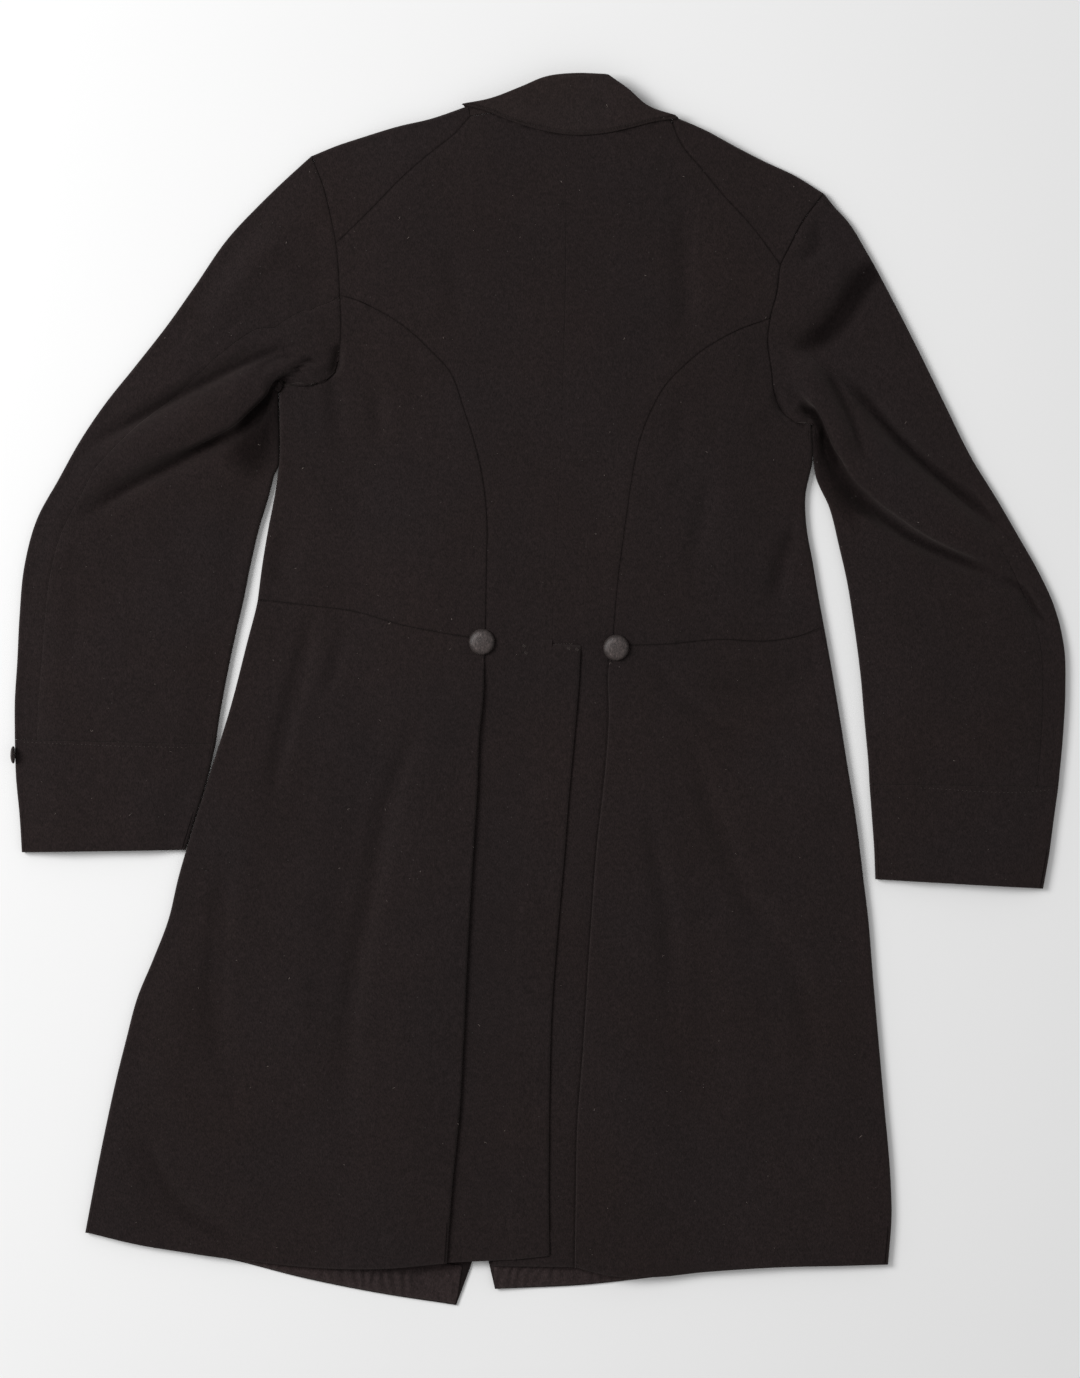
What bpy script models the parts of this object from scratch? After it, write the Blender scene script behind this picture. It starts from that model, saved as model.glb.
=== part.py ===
"""A long double-breasted coat laid face down: its back, with waist seam, pleats and vent, is on top.

Sizes are millimetres in the plan of the coat as it lies. X runs to the right, Y towards the collar
and Z up from the surface. The coat's own left side lies at -X, because its front is underneath.
"""
import math

import bmesh
import bpy
import numpy as np

MM = 0.001
OBJECT_NAME = "laid_frock_coat"

# Cloth and the gaps between pieces
CLOTH = 2.0
SEAM_GAP = 0.4
LAYER_GAP = 0.4
LAP = CLOTH + LAYER_GAP
FRONT_LAP = CLOTH + 2 * LAYER_GAP
FOLD_GAP = 0.5

# Heights of the laid coat
EDGE_HEIGHT = 6.5
BODY_HEIGHT = 8.0
CENTRE_RISE = 2.5
SLEEVE_HEIGHT = 10.0
TURN = EDGE_HEIGHT / 2
FRONT_LIFT = 4.3
TAIL_HEIGHT = 10.0
PLEAT_TURN = (2 * CLOTH + FOLD_GAP) / 2
PLEAT_STACK = 2 * PLEAT_TURN + LAYER_GAP

# Main places in the plan
WAIST_Y = 42.0
PLEAT_START_Y = -5.0
CENTRE_X = 8.0
LIFT_X = 20.0
BACK_COLUMNS = 7
TAIL_TOP_ROWS = 6
TAIL_LOW_ROWS = 12
SKIRT_COLUMNS = 10
SKIRT_ROWS = 14
UNDER_COLUMNS = 6
COLLAR_COLUMNS = 13
ROLL_CLEAR = 6.5
UNDERLAY = 28.0
UNDERLAP = 24.0
SIDE_SEAM_INSET = 38.0

# Buttons
DOME = ((0.0, 1.0), (0.45, 0.95), (0.8, 0.74), (0.97, 0.42), (1.0, 0.2), (0.9, 0.0), (0.0, 0.0))
LOW_DOME = ((0.0, 1.0), (0.6, 0.88), (0.95, 0.5), (1.0, 0.2), (0.9, 0.0), (0.0, 0.0))
BACK_BUTTON = {"radius": 11.0, "height": 5.0, "profile": DOME, "sides": 18}
FRONT_BUTTON = {"radius": 11.0, "height": 3.6, "profile": LOW_DOME, "sides": 12}
CUFF_BUTTON = {"radius": 7.5, "height": 3.0, "profile": LOW_DOME, "sides": 12}
BACK_BUTTON_AT = {"left": (-49.0, 40.0), "right": (65.0, 35.0)}
FRONT_BUTTON_COLUMNS = (-60.0, 80.0)
FRONT_BUTTON_ROWS = (58.0, 148.0, 238.0)
CUFF_BUTTON_Y = -56.0

SIGN = {"left": -1.0, "right": 1.0}

# Armhole, x and y of twelve stations from the shoulder point down to the underarm.
# Station 3 meets the shoulder seam, station 5 the side-back and hind-arm seams, 9 the side seam.
ARMHOLE = {
    "left": ((-194, 454), (-184, 428), (-178, 404), (-173, 379), (-171, 357), (-170, 335),
             (-169, 313), (-170, 290), (-174, 269), (-183, 262), (-199, 258), (-222, 258)),
    "right": ((242, 422), (224, 398), (213, 377), (205, 361), (202, 338), (196, 315),
              (194, 297), (197, 273), (200, 251), (206, 237), (217, 227), (232, 222)),
}

# Shoulder seam, x and y from the neck to the armhole
SHOULDER_SEAM = {
    "left": ((-59, 487), (-71, 473), (-92, 456), (-112, 439), (-143, 408), (-173, 379)),
    "right": ((113, 485), (121, 462), (136, 444), (155, 421), (180, 394), (205, 361)),
}

# Shoulder edge of the laid coat, x and y from the neck to the armhole
SHOULDER_EDGE = {
    "left": ((-67, 494), (-93, 485), (-119, 479), (-147, 471), (-172, 463), (-194, 454)),
    "right": ((119, 485), (142, 475), (164, 463), (190, 450), (218, 437), (242, 422)),
}

# Side-back seam, x and y from the armhole to the waist
SIDE_BACK_SEAM = {
    "left": ((-170, 335), (-156, 331), (-137, 322), (-119, 311), (-104, 299), (-91, 286),
             (-77, 271), (-64, 237), (-51, 193), (-45, 152), (-45, 101), (-46, 42)),
    "right": ((196, 315), (173, 307), (153, 297), (136, 286), (121, 273), (107, 258),
              (96, 239), (86, 214), (78, 176), (73, 140), (67, 95), (62, 37)),
}

# Side edge of the body and skirt as it lies, x and y from the underarm to the hem
SIDE_EDGE = {
    "left": ((-222, 258), (-223, 180), (-229, 148), (-236, 107), (-240, 76), (-249, 40),
             (-262, -16), (-274, -60), (-298, -132), (-306, -184), (-315, -222), (-335, -264),
             (-347, -312), (-359, -349), (-374, -400), (-386, -461)),
    "right": ((232, 222), (232, 189), (226, 161), (232, 113), (240, 66), (243, 50),
              (255, -19), (262, -63), (270, -113), (276, -162), (280, -195), (284, -244),
              (293, -347), (299, -417), (300, -446), (297, -490)),
}

# Waist seam on the back, x and y from the side edge to the pleat
WAIST_SEAM = {
    "left": ((-240, 76), (-204, 72), (-153, 65), (-119, 55), (-85, 48), (-46, 42)),
    "right": ((242, 52), (221, 45), (198, 41), (153, 42), (107, 38), (62, 37)),
}

# Folded edge of the rear pleat, x and y from the waist to the hem
PLEAT_EDGE = {
    "left": ((-46, 42), (-47, 20), (-48, -9), (-51, -37), (-53, -88), (-56, -134), (-61, -222),
             (-65, -307), (-68, -360), (-74, -421), (-79, -488)),
    "right": ((62, 37), (59, 20), (59, -24), (54, -88), (50, -122), (43, -213), (37, -307),
              (32, -375), (31, -426), (30, -492)),
}

# Back hem of the skirt, x and y from the side edge to the pleat
SKIRT_HEM = {
    "left": ((-386, -461), (-341, -474), (-299, -480), (-239, -488), (-185, -493), (-136, -493),
             (-79, -488)),
    "right": ((297, -490), (255, -491), (205, -492), (141, -496), (100, -500), (60, -499),
              (30, -492)),
}

# Front hem, which shows below the back hem, x and y from the side edge to the front corner
FRONT_HEM = {
    "left": ((-386, -461), (-330, -476), (-260, -487), (-201, -502), (-136, -515), (-71, -525)),
    "right": ((297, -490), (240, -490), (160, -494), (100, -501), (35, -508), (-38, -511)),
}

# Front edge of each front, x and y from the waist to the hem corner
FRONT_EDGE = {
    "left": ((99, 42), (-10, -330), (-57, -487), (-71, -525)),
    "right": ((-79, 42), (-52, -360), (-43, -489), (-38, -511)),
}

# Where the lapel's roll line starts at the neck and ends above the top button
ROLL_LINE = {"left": ((-59, 490), (94, 250)), "right": ((113, 482), (-74, 246))}

CENTRE_SEAM = ((23, 481), (22, 331), (19, 237), (17, 169), (12, 88), (11, 42))
VENT_EDGE = ((35, 37), (33.5, 5), (30.5, -31), (24.5, -97), (21.5, -137), (15.5, -205), (10.4, -273),
             (8.7, -330), (8, -385), (7.8, -430), (8.5, -482))
VENT_UNDERLAP = ((-17, 36), (-40, -491))
VENT_MIDDLE = {"left": ((11, 42), (-20, -485)), "right": ((11, 42), (0, -491))}
TAIL_HEM_Y = {"left": (-488.0, -485.0, -482.0), "right": (-492.0, -491.5, -491.0)}

# Collar stations: roll x and y, outer edge x and y, neck seam x and y
COLLAR = (
    (-60, 496, -66, 496.5, -58, 490),
    (-42, 502, -48, 492, -40, 489),
    (-17, 511, -24, 482, -15, 486),
    (5, 520, 0, 474.5, 5, 483),
    (32, 523, 30, 470, 32, 481),
    (58, 522, 58, 472, 60, 482),
    (75, 510, 80, 477, 78, 484),
    (92, 496, 98, 482, 94, 486),
    (114, 487, 118, 486, 112, 485.5),
)

# Width of the turned lapel along its roll line: share of the way up, width.
# The right one shows only above the left front.
LAPEL_WIDTH = {
    "left": ((0.03, 12.0), (0.25, 46.0), (0.5, 78.0), (0.70, 98.0), (0.82, 60.0)),
    "right": ((0.54, 82.0), (0.62, 90.0), (0.70, 98.0), (0.82, 60.0)),
}
COLLAR_LEAF = ((0.85, 44.0), (0.93, 48.0), (1.0, 40.0))

# Sleeve stations: outer x and y, inner x and y, from the armhole to the cuff seam
SLEEVE = {
    "left": ((-194, 454, -223.2, 258.6), (-209, 438, -224.2, 257.6), (-232, 415, -224.8, 255.5),
             (-262, 383, -225.5, 249), (-288, 344, -225, 238), (-312, 310, -224.6, 222),
             (-344, 273, -225, 198), (-371, 243, -229.5, 168), (-390, 212, -239, 136),
             (-408, 178, -246, 106), (-426, 145, -252, 76), (-437, 104, -258, 50),
             (-442, 62, -264, 22), (-445, 22, -269, -4), (-446, -10, -273, -27),
             (-446, -43, -277, -47)),
    "right": ((242, 422, 232.8, 221.2), (251, 411, 234.3, 220.6), (262, 399, 234.9, 218.4),
              (280, 370, 235.5, 213), (300, 333, 234.8, 202), (322, 290, 236.5, 182),
              (345, 243, 247, 154), (369, 195, 255, 122), (390, 161, 262, 91),
              (408, 130, 267, 60), (425, 100, 271, 32), (439, 69, 274, 6),
              (447, 35, 276, -18), (448, 0, 278, -40), (446, -40, 280, -62),
              (442, -83, 281, -81)),
}
CUFF = {
    "left": ((-446, -43, -277, -47), (-445, -75, -284, -78), (-442, -107, -293, -107),
             (-440, -139, -303, -137)),
    "right": ((442, -83, 281, -81), (438, -112, 283, -108), (434, -142, 285, -136),
              (429, -170, 286, -162)),
}
# Share of the sleeve's width, from the outer edge, where the hind-arm seam runs on the back
FOREARM_SEAM = 0.85
HIND_SEAM = {
    "left": ((0.0, 0.5), (0.09, 0.62), (0.24, 0.38), (0.41, 0.2), (0.52, 0.12), (1.0, 0.1)),
    "right": ((0.0, 0.5), (0.08, 0.62), (0.17, 0.55), (0.35, 0.31), (0.49, 0.14), (0.6, 0.1), (1.0, 0.1)),
}

# Large folds: half width, height, then the x and y of each point of its line
FOLDS = {
    "left_blade": (16, -2.0, (-72, 372), (-70, 305)),
    "left_underarm": (14, -2.2, (-176, 268), (-170, 215)),
    "left_side_body": (14, -1.8, (-139, 256), (-134, 214)),
    "left_waist_slant": (16, -1.6, (-190, 176), (-98, 126)),
    "left_side_nick_high": (9, -2.2, (-230, 122), (-200, 120)),
    "left_side_nick_low": (9, -2.2, (-233, 104), (-206, 86)),
    "right_blade": (17, -2.6, (123, 412), (125, 296)),
    "right_side_body": (14, -2.0, (121, 240), (118, 190)),
    "right_waist_slant": (15, -1.8, (147, 182), (128, 98)),
    "right_side_nick": (11, -2.6, (221, 142), (204, 101), (199, 70)),
    "left_hip_fold": (14, -3.0, (-193, 62), (-206, 5), (-219, -42), (-227, -100)),
    "left_hip_short": (12, -2.0, (-166, 46), (-181, -5)),
    "left_long_fold": (18, -3.0, (-97, -20), (-128, -97), (-145, -184), (-160, -261), (-166, -366)),
    "left_outer_fold": (18, -3.0, (-266, -140), (-274, -226), (-274, -299), (-259, -358)),
    "left_hem_curve": (16, -2.4, (-343, -386), (-322, -424), (-283, -455), (-233, -473)),
    "left_skirt_swell": (30, 2.2, (-162, -20), (-196, -180), (-214, -350)),
    "left_edge_swell": (26, 2.0, (-300, -215), (-318, -330)),
    "right_hip_fold": (13, -3.4, (147, 4), (186, -4), (215, -3), (230, 17)),
    "right_hip_swell": (15, 2.4, (160, 26), (205, 21)),
    "right_slant_fold": (15, -3.0, (86, 28), (142, -24), (207, -63), (226, -90)),
    "right_long_fold": (18, -3.0, (125, -28), (147, -101), (181, -184), (215, -235), (232, -321),
                        (215, -374)),
    "right_inner_fold": (16, -2.4, (90, -95), (108, -192), (114, -280)),
    "right_hem_hollow": (20, -2.0, (186, -450), (267, -450)),
    "right_skirt_swell": (28, 2.2, (150, -170), (172, -300), (165, -420)),
    "left_arm_roll": (27, 8.0, (-196, 298), (-240, 261), (-300, 223), (-350, 196), (-374, 182)),
    "left_arm_crease": (14, -4.0, (-214, 262), (-240, 232), (-296, 196), (-334, 180), (-397, 143)),
    "left_arm_upper": (22, 2.5, (-215, 395), (-290, 300)),
    "right_arm_hollow": (18, -2.6, (278, 360), (254, 325), (228, 300), (212, 288)),
    "right_arm_roll": (22, 8.0, (208, 276), (240, 255), (260, 232), (270, 200)),
    "right_arm_crease": (14, -4.0, (258, 263), (288, 227), (323, 200), (352, 174), (405, 130)),
    "right_arm_swell": (22, 5.0, (268, 218), (310, 170), (352, 138), (392, 110)),
    "right_elbow_crease": (14, -4.0, (246, 192), (272, 162), (306, 139), (340, 116), (400, 90),
                           (436, 52)),
}

CLOTH_COLOR = (0.018, 0.015, 0.015, 1.0)
COLLAR_COLOR = (0.022, 0.019, 0.018, 1.0)
BUTTON_COLOR = (0.085, 0.075, 0.068, 1.0)


def smooth(value):
    """Ease from 0 to 1."""
    t = np.clip(value, 0.0, 1.0)
    return t * t * (3.0 - 2.0 * t)


def spline(points, count):
    """Points evenly spaced along a smooth curve through the given plan points."""
    p = np.asarray(points, dtype=float)
    if len(p) == 2:
        t = np.linspace(0.0, 1.0, count)[:, None]
        return p[0] * (1 - t) + p[1] * t
    ends = np.vstack([2 * p[0] - p[1], p, 2 * p[-1] - p[-2]])
    fine = []
    for a, b, c, d in zip(ends[:-3], ends[1:-2], ends[2:-1], ends[3:]):
        t = np.linspace(0.0, 1.0, 12, endpoint=False)[:, None]
        fine.append(0.5 * (2 * b + (c - a) * t + (2 * a - 5 * b + 4 * c - d) * t ** 2
                           + (3 * b - a - 3 * c + d) * t ** 3))
    fine = np.vstack(fine + [p[-1:]])
    run = np.concatenate([[0.0], np.cumsum(np.hypot(*np.diff(fine, axis=0).T))])
    at = np.linspace(0.0, run[-1], count)
    return np.column_stack([np.interp(at, run, fine[:, 0]), np.interp(at, run, fine[:, 1])])


def x_at(points, y):
    """X of a smooth curve that falls steadily in Y, at the given heights."""
    line = spline(points, 200)[::-1]
    return np.interp(y, line[:, 1], line[:, 0])


def at_heights(points, ys):
    """Plan points of a falling curve at the given heights."""
    ys = np.asarray(ys, dtype=float)
    return np.column_stack([x_at(points, ys), ys])


def distance(points, x, y):
    """Distance in the plan from each point to a line."""
    best = np.full(np.shape(x), 1e9)
    for a, b in zip(points[:-1], points[1:]):
        ab = b - a
        t = np.clip(((x - a[0]) * ab[0] + (y - a[1]) * ab[1]) / max(ab @ ab, 1e-9), 0.0, 1.0)
        best = np.minimum(best, np.hypot(x - a[0] - t * ab[0], y - a[1] - t * ab[1]))
    return best


FOLD_LINES = {name: spline(row[2:], 14) for name, row in FOLDS.items()}
NECK_SEAM = spline([row[4:6] for row in COLLAR], 60)
BODY_EDGES = [spline(table[side], 24) for table in (SHOULDER_EDGE, SIDE_EDGE) for side in SIGN]
SLEEVE_EDGES = [
    spline([row[k:k + 2] for row in SLEEVE[side] + CUFF[side][1:]], 30)
    for side in SIGN for k in (0, 2)
]


def relief(x, y):
    """Height that the large folds add to or take from the cloth."""
    total = np.zeros(np.shape(x))
    for name, row in FOLDS.items():
        line = FOLD_LINES[name]
        total += row[1] * smooth(1.0 - distance(line, x, y) / row[0])
    return total


def edge_ease(edges, x, y, width):
    """0 at the given outer edges of the laid coat, rising to 1 at a distance inside them."""
    near = np.minimum.reduce([distance(line, x, y) for line in edges])
    return smooth((near - TURN) / width)


def lift(x, y):
    """Rise of both fronts over the lapels and front buttons that lie under them."""
    across = smooth((185.0 - abs(x - LIFT_X)) / 50.0)
    return FRONT_LIFT * across * smooth((y + 60.0) / 100.0)


def body_base(x, y):
    """Height of the back above the fronts' lift, without folds."""
    centre = smooth((150.0 - abs(x - CENTRE_X)) / 90.0)
    ease = edge_ease(BODY_EDGES, x, y, 45.0)
    return EDGE_HEIGHT + (BODY_HEIGHT - EDGE_HEIGHT) * ease + CENTRE_RISE * centre * ease


def folds(edges, x, y):
    """Folds, faded out at the outer edges."""
    return relief(x, y) * edge_ease(edges, x, y, 12.0)


def body_top(x, y):
    return lift(x, y) + body_base(x, y) + folds(BODY_EDGES, x, y)


def below_waist(y):
    return smooth((WAIST_Y - y) / (WAIST_Y - PLEAT_START_Y))


def back_top(side, x, y):
    """Top of a back panel; the right one drops under the vent's flap."""
    base = body_base(x, y)
    drop = below_waist(y)
    top = lift(x, y) + base * (1 - drop) + TAIL_HEIGHT * drop
    top = top + folds(BODY_EDGES, x, y) * (1 - drop)
    if side == "right":
        top = top - LAP * smooth((60.0 - y) / 22.0)
    return top


def skirt_top(side, x, y):
    """Top of a skirt, raised where it lies over the pleat's underlay and the tail."""
    from_pleat = abs(x - x_at(PLEAT_EDGE[side], y))
    near = 1.0 - smooth((from_pleat - 36.0) / 75.0)
    stack = TAIL_HEIGHT + PLEAT_STACK - (LAP if side == "right" else 0.0)
    base = body_base(x, y)
    low = BODY_HEIGHT + (EDGE_HEIGHT - BODY_HEIGHT) * (1 - edge_ease(BODY_EDGES, x, y, 45.0))
    target = low + (stack - low) * near
    drop = below_waist(y)
    folded = folds(BODY_EDGES, x, y) * (1 - drop * (1 - smooth((from_pleat - 25.0) / 30.0)))
    return lift(x, y) + base * (1 - drop) + target * drop + folded


def left_boundary_x(y):
    """X of the left front's free edge: its roll line, then its front edge."""
    roll = ROLL_LINE["left"]
    line = [roll[0], roll[1]] + list(FRONT_EDGE["left"])
    line = np.array(line[::-1], dtype=float)
    return np.interp(y, line[:, 1], line[:, 0])


def front_bottom(side, x, y):
    """Underside of a front; the right one lies on the inside of the left one."""
    base = lift(x, y)
    if side == "right":
        base = base + FRONT_LAP * (1.0 - smooth((x - left_boundary_x(y) - 6.0) / 70.0))
    return base


def sleeve_top(x, y):
    """Top of a sleeve, level with the body at the armhole."""
    head = np.minimum.reduce([distance(np.array(ARMHOLE[side], dtype=float), x, y) for side in SIGN])
    height = BODY_HEIGHT + (SLEEVE_HEIGHT - BODY_HEIGHT) * smooth(head / 60.0)
    ease = edge_ease(SLEEVE_EDGES, x, y, 35.0)
    return EDGE_HEIGHT + (height - EDGE_HEIGHT) * ease + folds(SLEEVE_EDGES, x, y)


def shares(line):
    run = np.concatenate([[0.0], np.cumsum(np.hypot(*np.diff(line, axis=0).T))])
    return run / run[-1]


def patch(left, right, top, bottom):
    """Plan grid between four edges; rows run from the top edge to the bottom edge."""
    left, right, top, bottom = (np.asarray(e, dtype=float) for e in (left, right, top, bottom))
    v = ((shares(left) + shares(right)) / 2)[:, None, None]
    u = ((shares(top) + shares(bottom)) / 2)[None, :, None]
    corners = ((1 - u) * (1 - v) * left[0] + u * (1 - v) * right[0]
               + (1 - u) * v * left[-1] + u * v * right[-1])
    return (1 - u) * left[:, None] + u * right[:, None] + (1 - v) * top[None] + v * bottom[None] - corners


def straight(a, b, count):
    return spline((a, b), count)


def inset(grid, **amounts):
    """Move whole border lines of a plan grid inwards, square to the border."""
    grid = grid.copy()
    views = {"first_row": (grid, 0, 1), "last_row": (grid, -1, -2),
             "first_col": (grid.transpose(1, 0, 2), 0, 1), "last_col": (grid.transpose(1, 0, 2), -1, -2)}
    for name, amount in amounts.items():
        view, at, inner = views[name]
        border = view[at].copy()
        tangent = np.gradient(border, axis=0)
        tangent /= np.maximum(np.hypot(*tangent.T), 1e-9)[:, None]
        towards = view[inner] - border
        towards /= np.maximum(np.hypot(*towards.T), 1e-9)[:, None]
        square = abs(tangent[:, 0] * towards[:, 1] - tangent[:, 1] * towards[:, 0])
        view[at] = border + towards * (amount / np.maximum(square, 0.35))[:, None]
    return grid


def turn_offsets(steps=4):
    """Share of the turn radius, and height share from 1 on top to -1 below, round a folded edge."""
    angles = np.linspace(math.pi / 2, -math.pi / 2, steps + 1)
    return 1.0 - np.cos(angles), np.sin(angles)


def turned_edge(edge, inward, radius):
    """Plan grid and height shares of cloth that turns round an edge line from top to underside."""
    along, share = turn_offsets()
    grid = edge[:, None] + inward[:, None] * (radius * along)[None, :, None]
    return grid, np.broadcast_to(share, grid.shape[:2])


def lifted(grid, top, under=None, share=None):
    """Give a plan grid its heights: on the top layer, the under layer or turning between them."""
    x, y = grid[..., 0], grid[..., 1]
    upper = top(x, y)
    if share is None:
        z = upper
    else:
        lower = under(x, y)
        z = (upper + lower) / 2 + (upper - lower) / 2 * share
    return np.concatenate([grid, z[..., None]], axis=2)


def material(name, color, roughness):
    made = bpy.data.materials.new(name)
    made.use_nodes = True
    shader = made.node_tree.nodes["Principled BSDF"]
    shader.inputs["Base Color"].default_value = color
    shader.inputs["Roughness"].default_value = roughness
    shader.inputs["Metallic"].default_value = 0.0
    return made


def link(name, mesh, color, roughness):
    piece = bpy.data.objects.new(name, mesh)
    bpy.data.collections[OBJECT_NAME].objects.link(piece)
    mesh.materials.append(material(name, color, roughness))
    return piece


def cloth_panel(name, grids, faces_up, color=CLOTH_COLOR):
    """Join grids of outer points into one sheet and give it the cloth's thickness inwards.

    faces_up tells whether the first grid's outer side faces up.
    """
    sheet = bmesh.new()
    first = None
    for grid in grids:
        rows, cols = grid.shape[:2]
        verts = [[sheet.verts.new(grid[r, c] * MM) for c in range(cols)] for r in range(rows)]
        for r in range(rows - 1):
            for c in range(cols - 1):
                face = sheet.faces.new((verts[r][c], verts[r + 1][c], verts[r + 1][c + 1], verts[r][c + 1]))
                first = first or face
    first.tag = True
    bmesh.ops.remove_doubles(sheet, verts=sheet.verts, dist=0.02 * MM)
    bmesh.ops.recalc_face_normals(sheet, faces=sheet.faces)
    marked = next(face for face in sheet.faces if face.tag)
    marked.normal_update()
    if (marked.normal.z > 0) != faces_up:
        bmesh.ops.reverse_faces(sheet, faces=sheet.faces)
    mesh = bpy.data.meshes.new(name)
    sheet.to_mesh(mesh)
    sheet.free()
    mesh.shade_smooth()
    mesh.set_sharp_from_angle(angle=math.radians(50))
    piece = link(name, mesh, color, 0.9)
    wall = piece.modifiers.new("cloth", "SOLIDIFY")
    wall.thickness = CLOTH * MM
    wall.offset = -1.0
    wall.use_even_offset = False
    return piece


def side_rows(side):
    """Where the rows of the back and side panels meet along the side-back seam."""
    seam = SIDE_BACK_SEAM[side]
    lower = np.linspace(seam[7][1], seam[-1][1], 7)
    return np.vstack([np.array(seam[1:7], dtype=float), at_heights(seam[6:], lower)])


def tail_rows(start, end):
    """Heights of the rows of a tail, close together near the waist."""
    return np.concatenate([np.linspace(start, PLEAT_START_Y, TAIL_TOP_ROWS),
                           np.linspace(PLEAT_START_Y, end, TAIL_LOW_ROWS)[1:]])


def back(side):
    """One half of the back, with its tail, the pleat's underlap and its part of the vent."""
    sign = SIGN[side]
    seam = np.array(SHOULDER_SEAM[side], dtype=float)
    holes = np.array(ARMHOLE[side], dtype=float)
    outer = np.vstack([seam, holes[4:6], side_rows(side)])
    inner_y = np.interp(outer[:, 1], [WAIST_Y - 6, 440, 488], [WAIST_Y - 6, 440, 481])
    inner_y[-1] = outer[-1, 1]
    inner = at_heights(CENTRE_SEAM + ((10.5, 30),), inner_y)
    neck_x = np.linspace(seam[0, 0], inner[0, 0], BACK_COLUMNS)
    neck = np.column_stack([neck_x, np.interp(neck_x, NECK_SEAM[:, 0], NECK_SEAM[:, 1])])
    neck[0] = seam[0]
    inner[0] = neck[-1]
    waist = straight(outer[-1], inner[-1], BACK_COLUMNS)
    torso = patch(outer, inner, neck, waist)
    torso = inset(torso, first_row=SEAM_GAP / 2, first_col=SEAM_GAP / 2, last_col=SEAM_GAP / 2)

    hem_y = TAIL_HEM_Y[side]
    tail_y = tail_rows(outer[-1, 1], hem_y[0])
    pleat = at_heights(PLEAT_EDGE[side], np.maximum(tail_y, PLEAT_EDGE[side][-1][1]))
    pleat[:, 1] = tail_y
    pleat[:, 0] += sign * (PLEAT_TURN - SEAM_GAP / 2 - 0.1)
    pleat[0] = torso[-1, 0]
    middle = at_heights(VENT_MIDDLE[side], tail_rows(WAIST_Y, hem_y[1]))
    middle[0] = torso[-1, -1]
    tail = patch(pleat, middle, torso[-1], straight(pleat[-1], middle[-1], BACK_COLUMNS))

    low = TAIL_TOP_ROWS - 1
    under_edge = pleat[low:] + np.array([sign * UNDERLAP, 0.0])
    underlap = patch(under_edge, pleat[low:], straight(under_edge[0], pleat[low], 3),
                     straight(under_edge[-1], pleat[-1], 3))
    line = VENT_EDGE if side == "left" else VENT_UNDERLAP
    edge_y = tail_rows(WAIST_Y, line[-1][1])[1:]
    edge_y[0] = line[0][1]
    edge = at_heights(line, edge_y)
    middle[1, 1] = edge_y[0] + 1.5
    vent = patch(middle[1:], edge, straight(middle[1], edge[0], 4), straight(middle[-1], edge[-1], 4))

    def top(x, y):
        return back_top(side, x, y)

    grids = [lifted(g, top) for g in (torso, tail, underlap, vent)]
    return cloth_panel("back_" + side, grids, True)


def side_seam(side):
    """Side seam under the coat, from armhole station 9 to the waist."""
    start = np.array(ARMHOLE[side][9], dtype=float)
    line = at_heights(SIDE_EDGE[side], np.linspace(start[1], WAIST_SEAM[side][0][1], 7))
    line[:, 0] -= SIGN[side] * SIDE_SEAM_INSET
    line[0] = start
    return line


def hole_clearance(side):
    """Small step from each armhole station into the body, half the seam's gap."""
    holes = np.array(ARMHOLE[side], dtype=float)
    tangent = np.gradient(holes, axis=0)
    tangent /= np.hypot(*tangent.T)[:, None]
    return np.column_stack([tangent[:, 1], -tangent[:, 0]]) * SIGN[side] * SEAM_GAP / 2


def side_edge_rows(side, ys):
    """Points of the side edge at the given heights, and the way in from it."""
    edge = at_heights(SIDE_EDGE[side], ys)
    inward = np.tile([-SIGN[side], 0.0], (len(edge), 1))
    return edge, inward


def side_body(side):
    """The side body, from the side-back seam round the side edge to the seam underneath."""
    holes = np.array(ARMHOLE[side], dtype=float)[5:]
    seam = side_rows(side)
    waist = np.array(WAIST_SEAM[side], dtype=float)
    lower_y = np.linspace(holes[-1, 1], waist[0, 1], 7)
    edge, inward = side_edge_rows(side, lower_y)
    outer = np.vstack([holes[:-1], edge + inward * TURN])
    bottom = waist_points(side)
    bottom[0] = outer[-1]
    upper = patch(outer, seam, straight(outer[0], seam[0], len(bottom)), bottom)
    upper = inset(upper, first_row=SEAM_GAP / 2, last_row=SEAM_GAP / 2, last_col=SEAM_GAP / 2)
    start = len(holes) - 1
    upper[:start, 0] += hole_clearance(side)[5:11]
    upper[start, 0, 1] -= SEAM_GAP
    edge_rows = upper[start:, 0] - inward * TURN
    wrap, share = turned_edge(edge_rows, inward, TURN)
    under_edge = edge_rows + inward * TURN
    under_seam = side_seam(side)
    below = patch(under_edge, under_seam, np.vstack([under_edge[0], holes[5], under_seam[0]]),
                  straight(under_edge[-1], under_seam[-1], 3))
    below = inset(below, last_col=SEAM_GAP / 2)
    below[0, 1:, 1] -= SEAM_GAP
    grids = [lifted(upper, body_top), lifted(wrap, body_top, lift, share), lifted(below, lift)]
    return cloth_panel("side_" + side, grids, True)


def waist_points(side):
    """Points of the waist seam that the side body and the skirt share."""
    line = spline(WAIST_SEAM[side], SKIRT_COLUMNS)
    line[0, 0] -= SIGN[side] * TURN
    return line


def halved(line):
    """A line with a point added in the middle of each stretch."""
    line = np.asarray(line, dtype=float)
    out = np.empty((2 * len(line) - 1, 2))
    out[::2] = line
    out[1::2] = (line[:-1] + line[1:]) / 2
    return out


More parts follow.
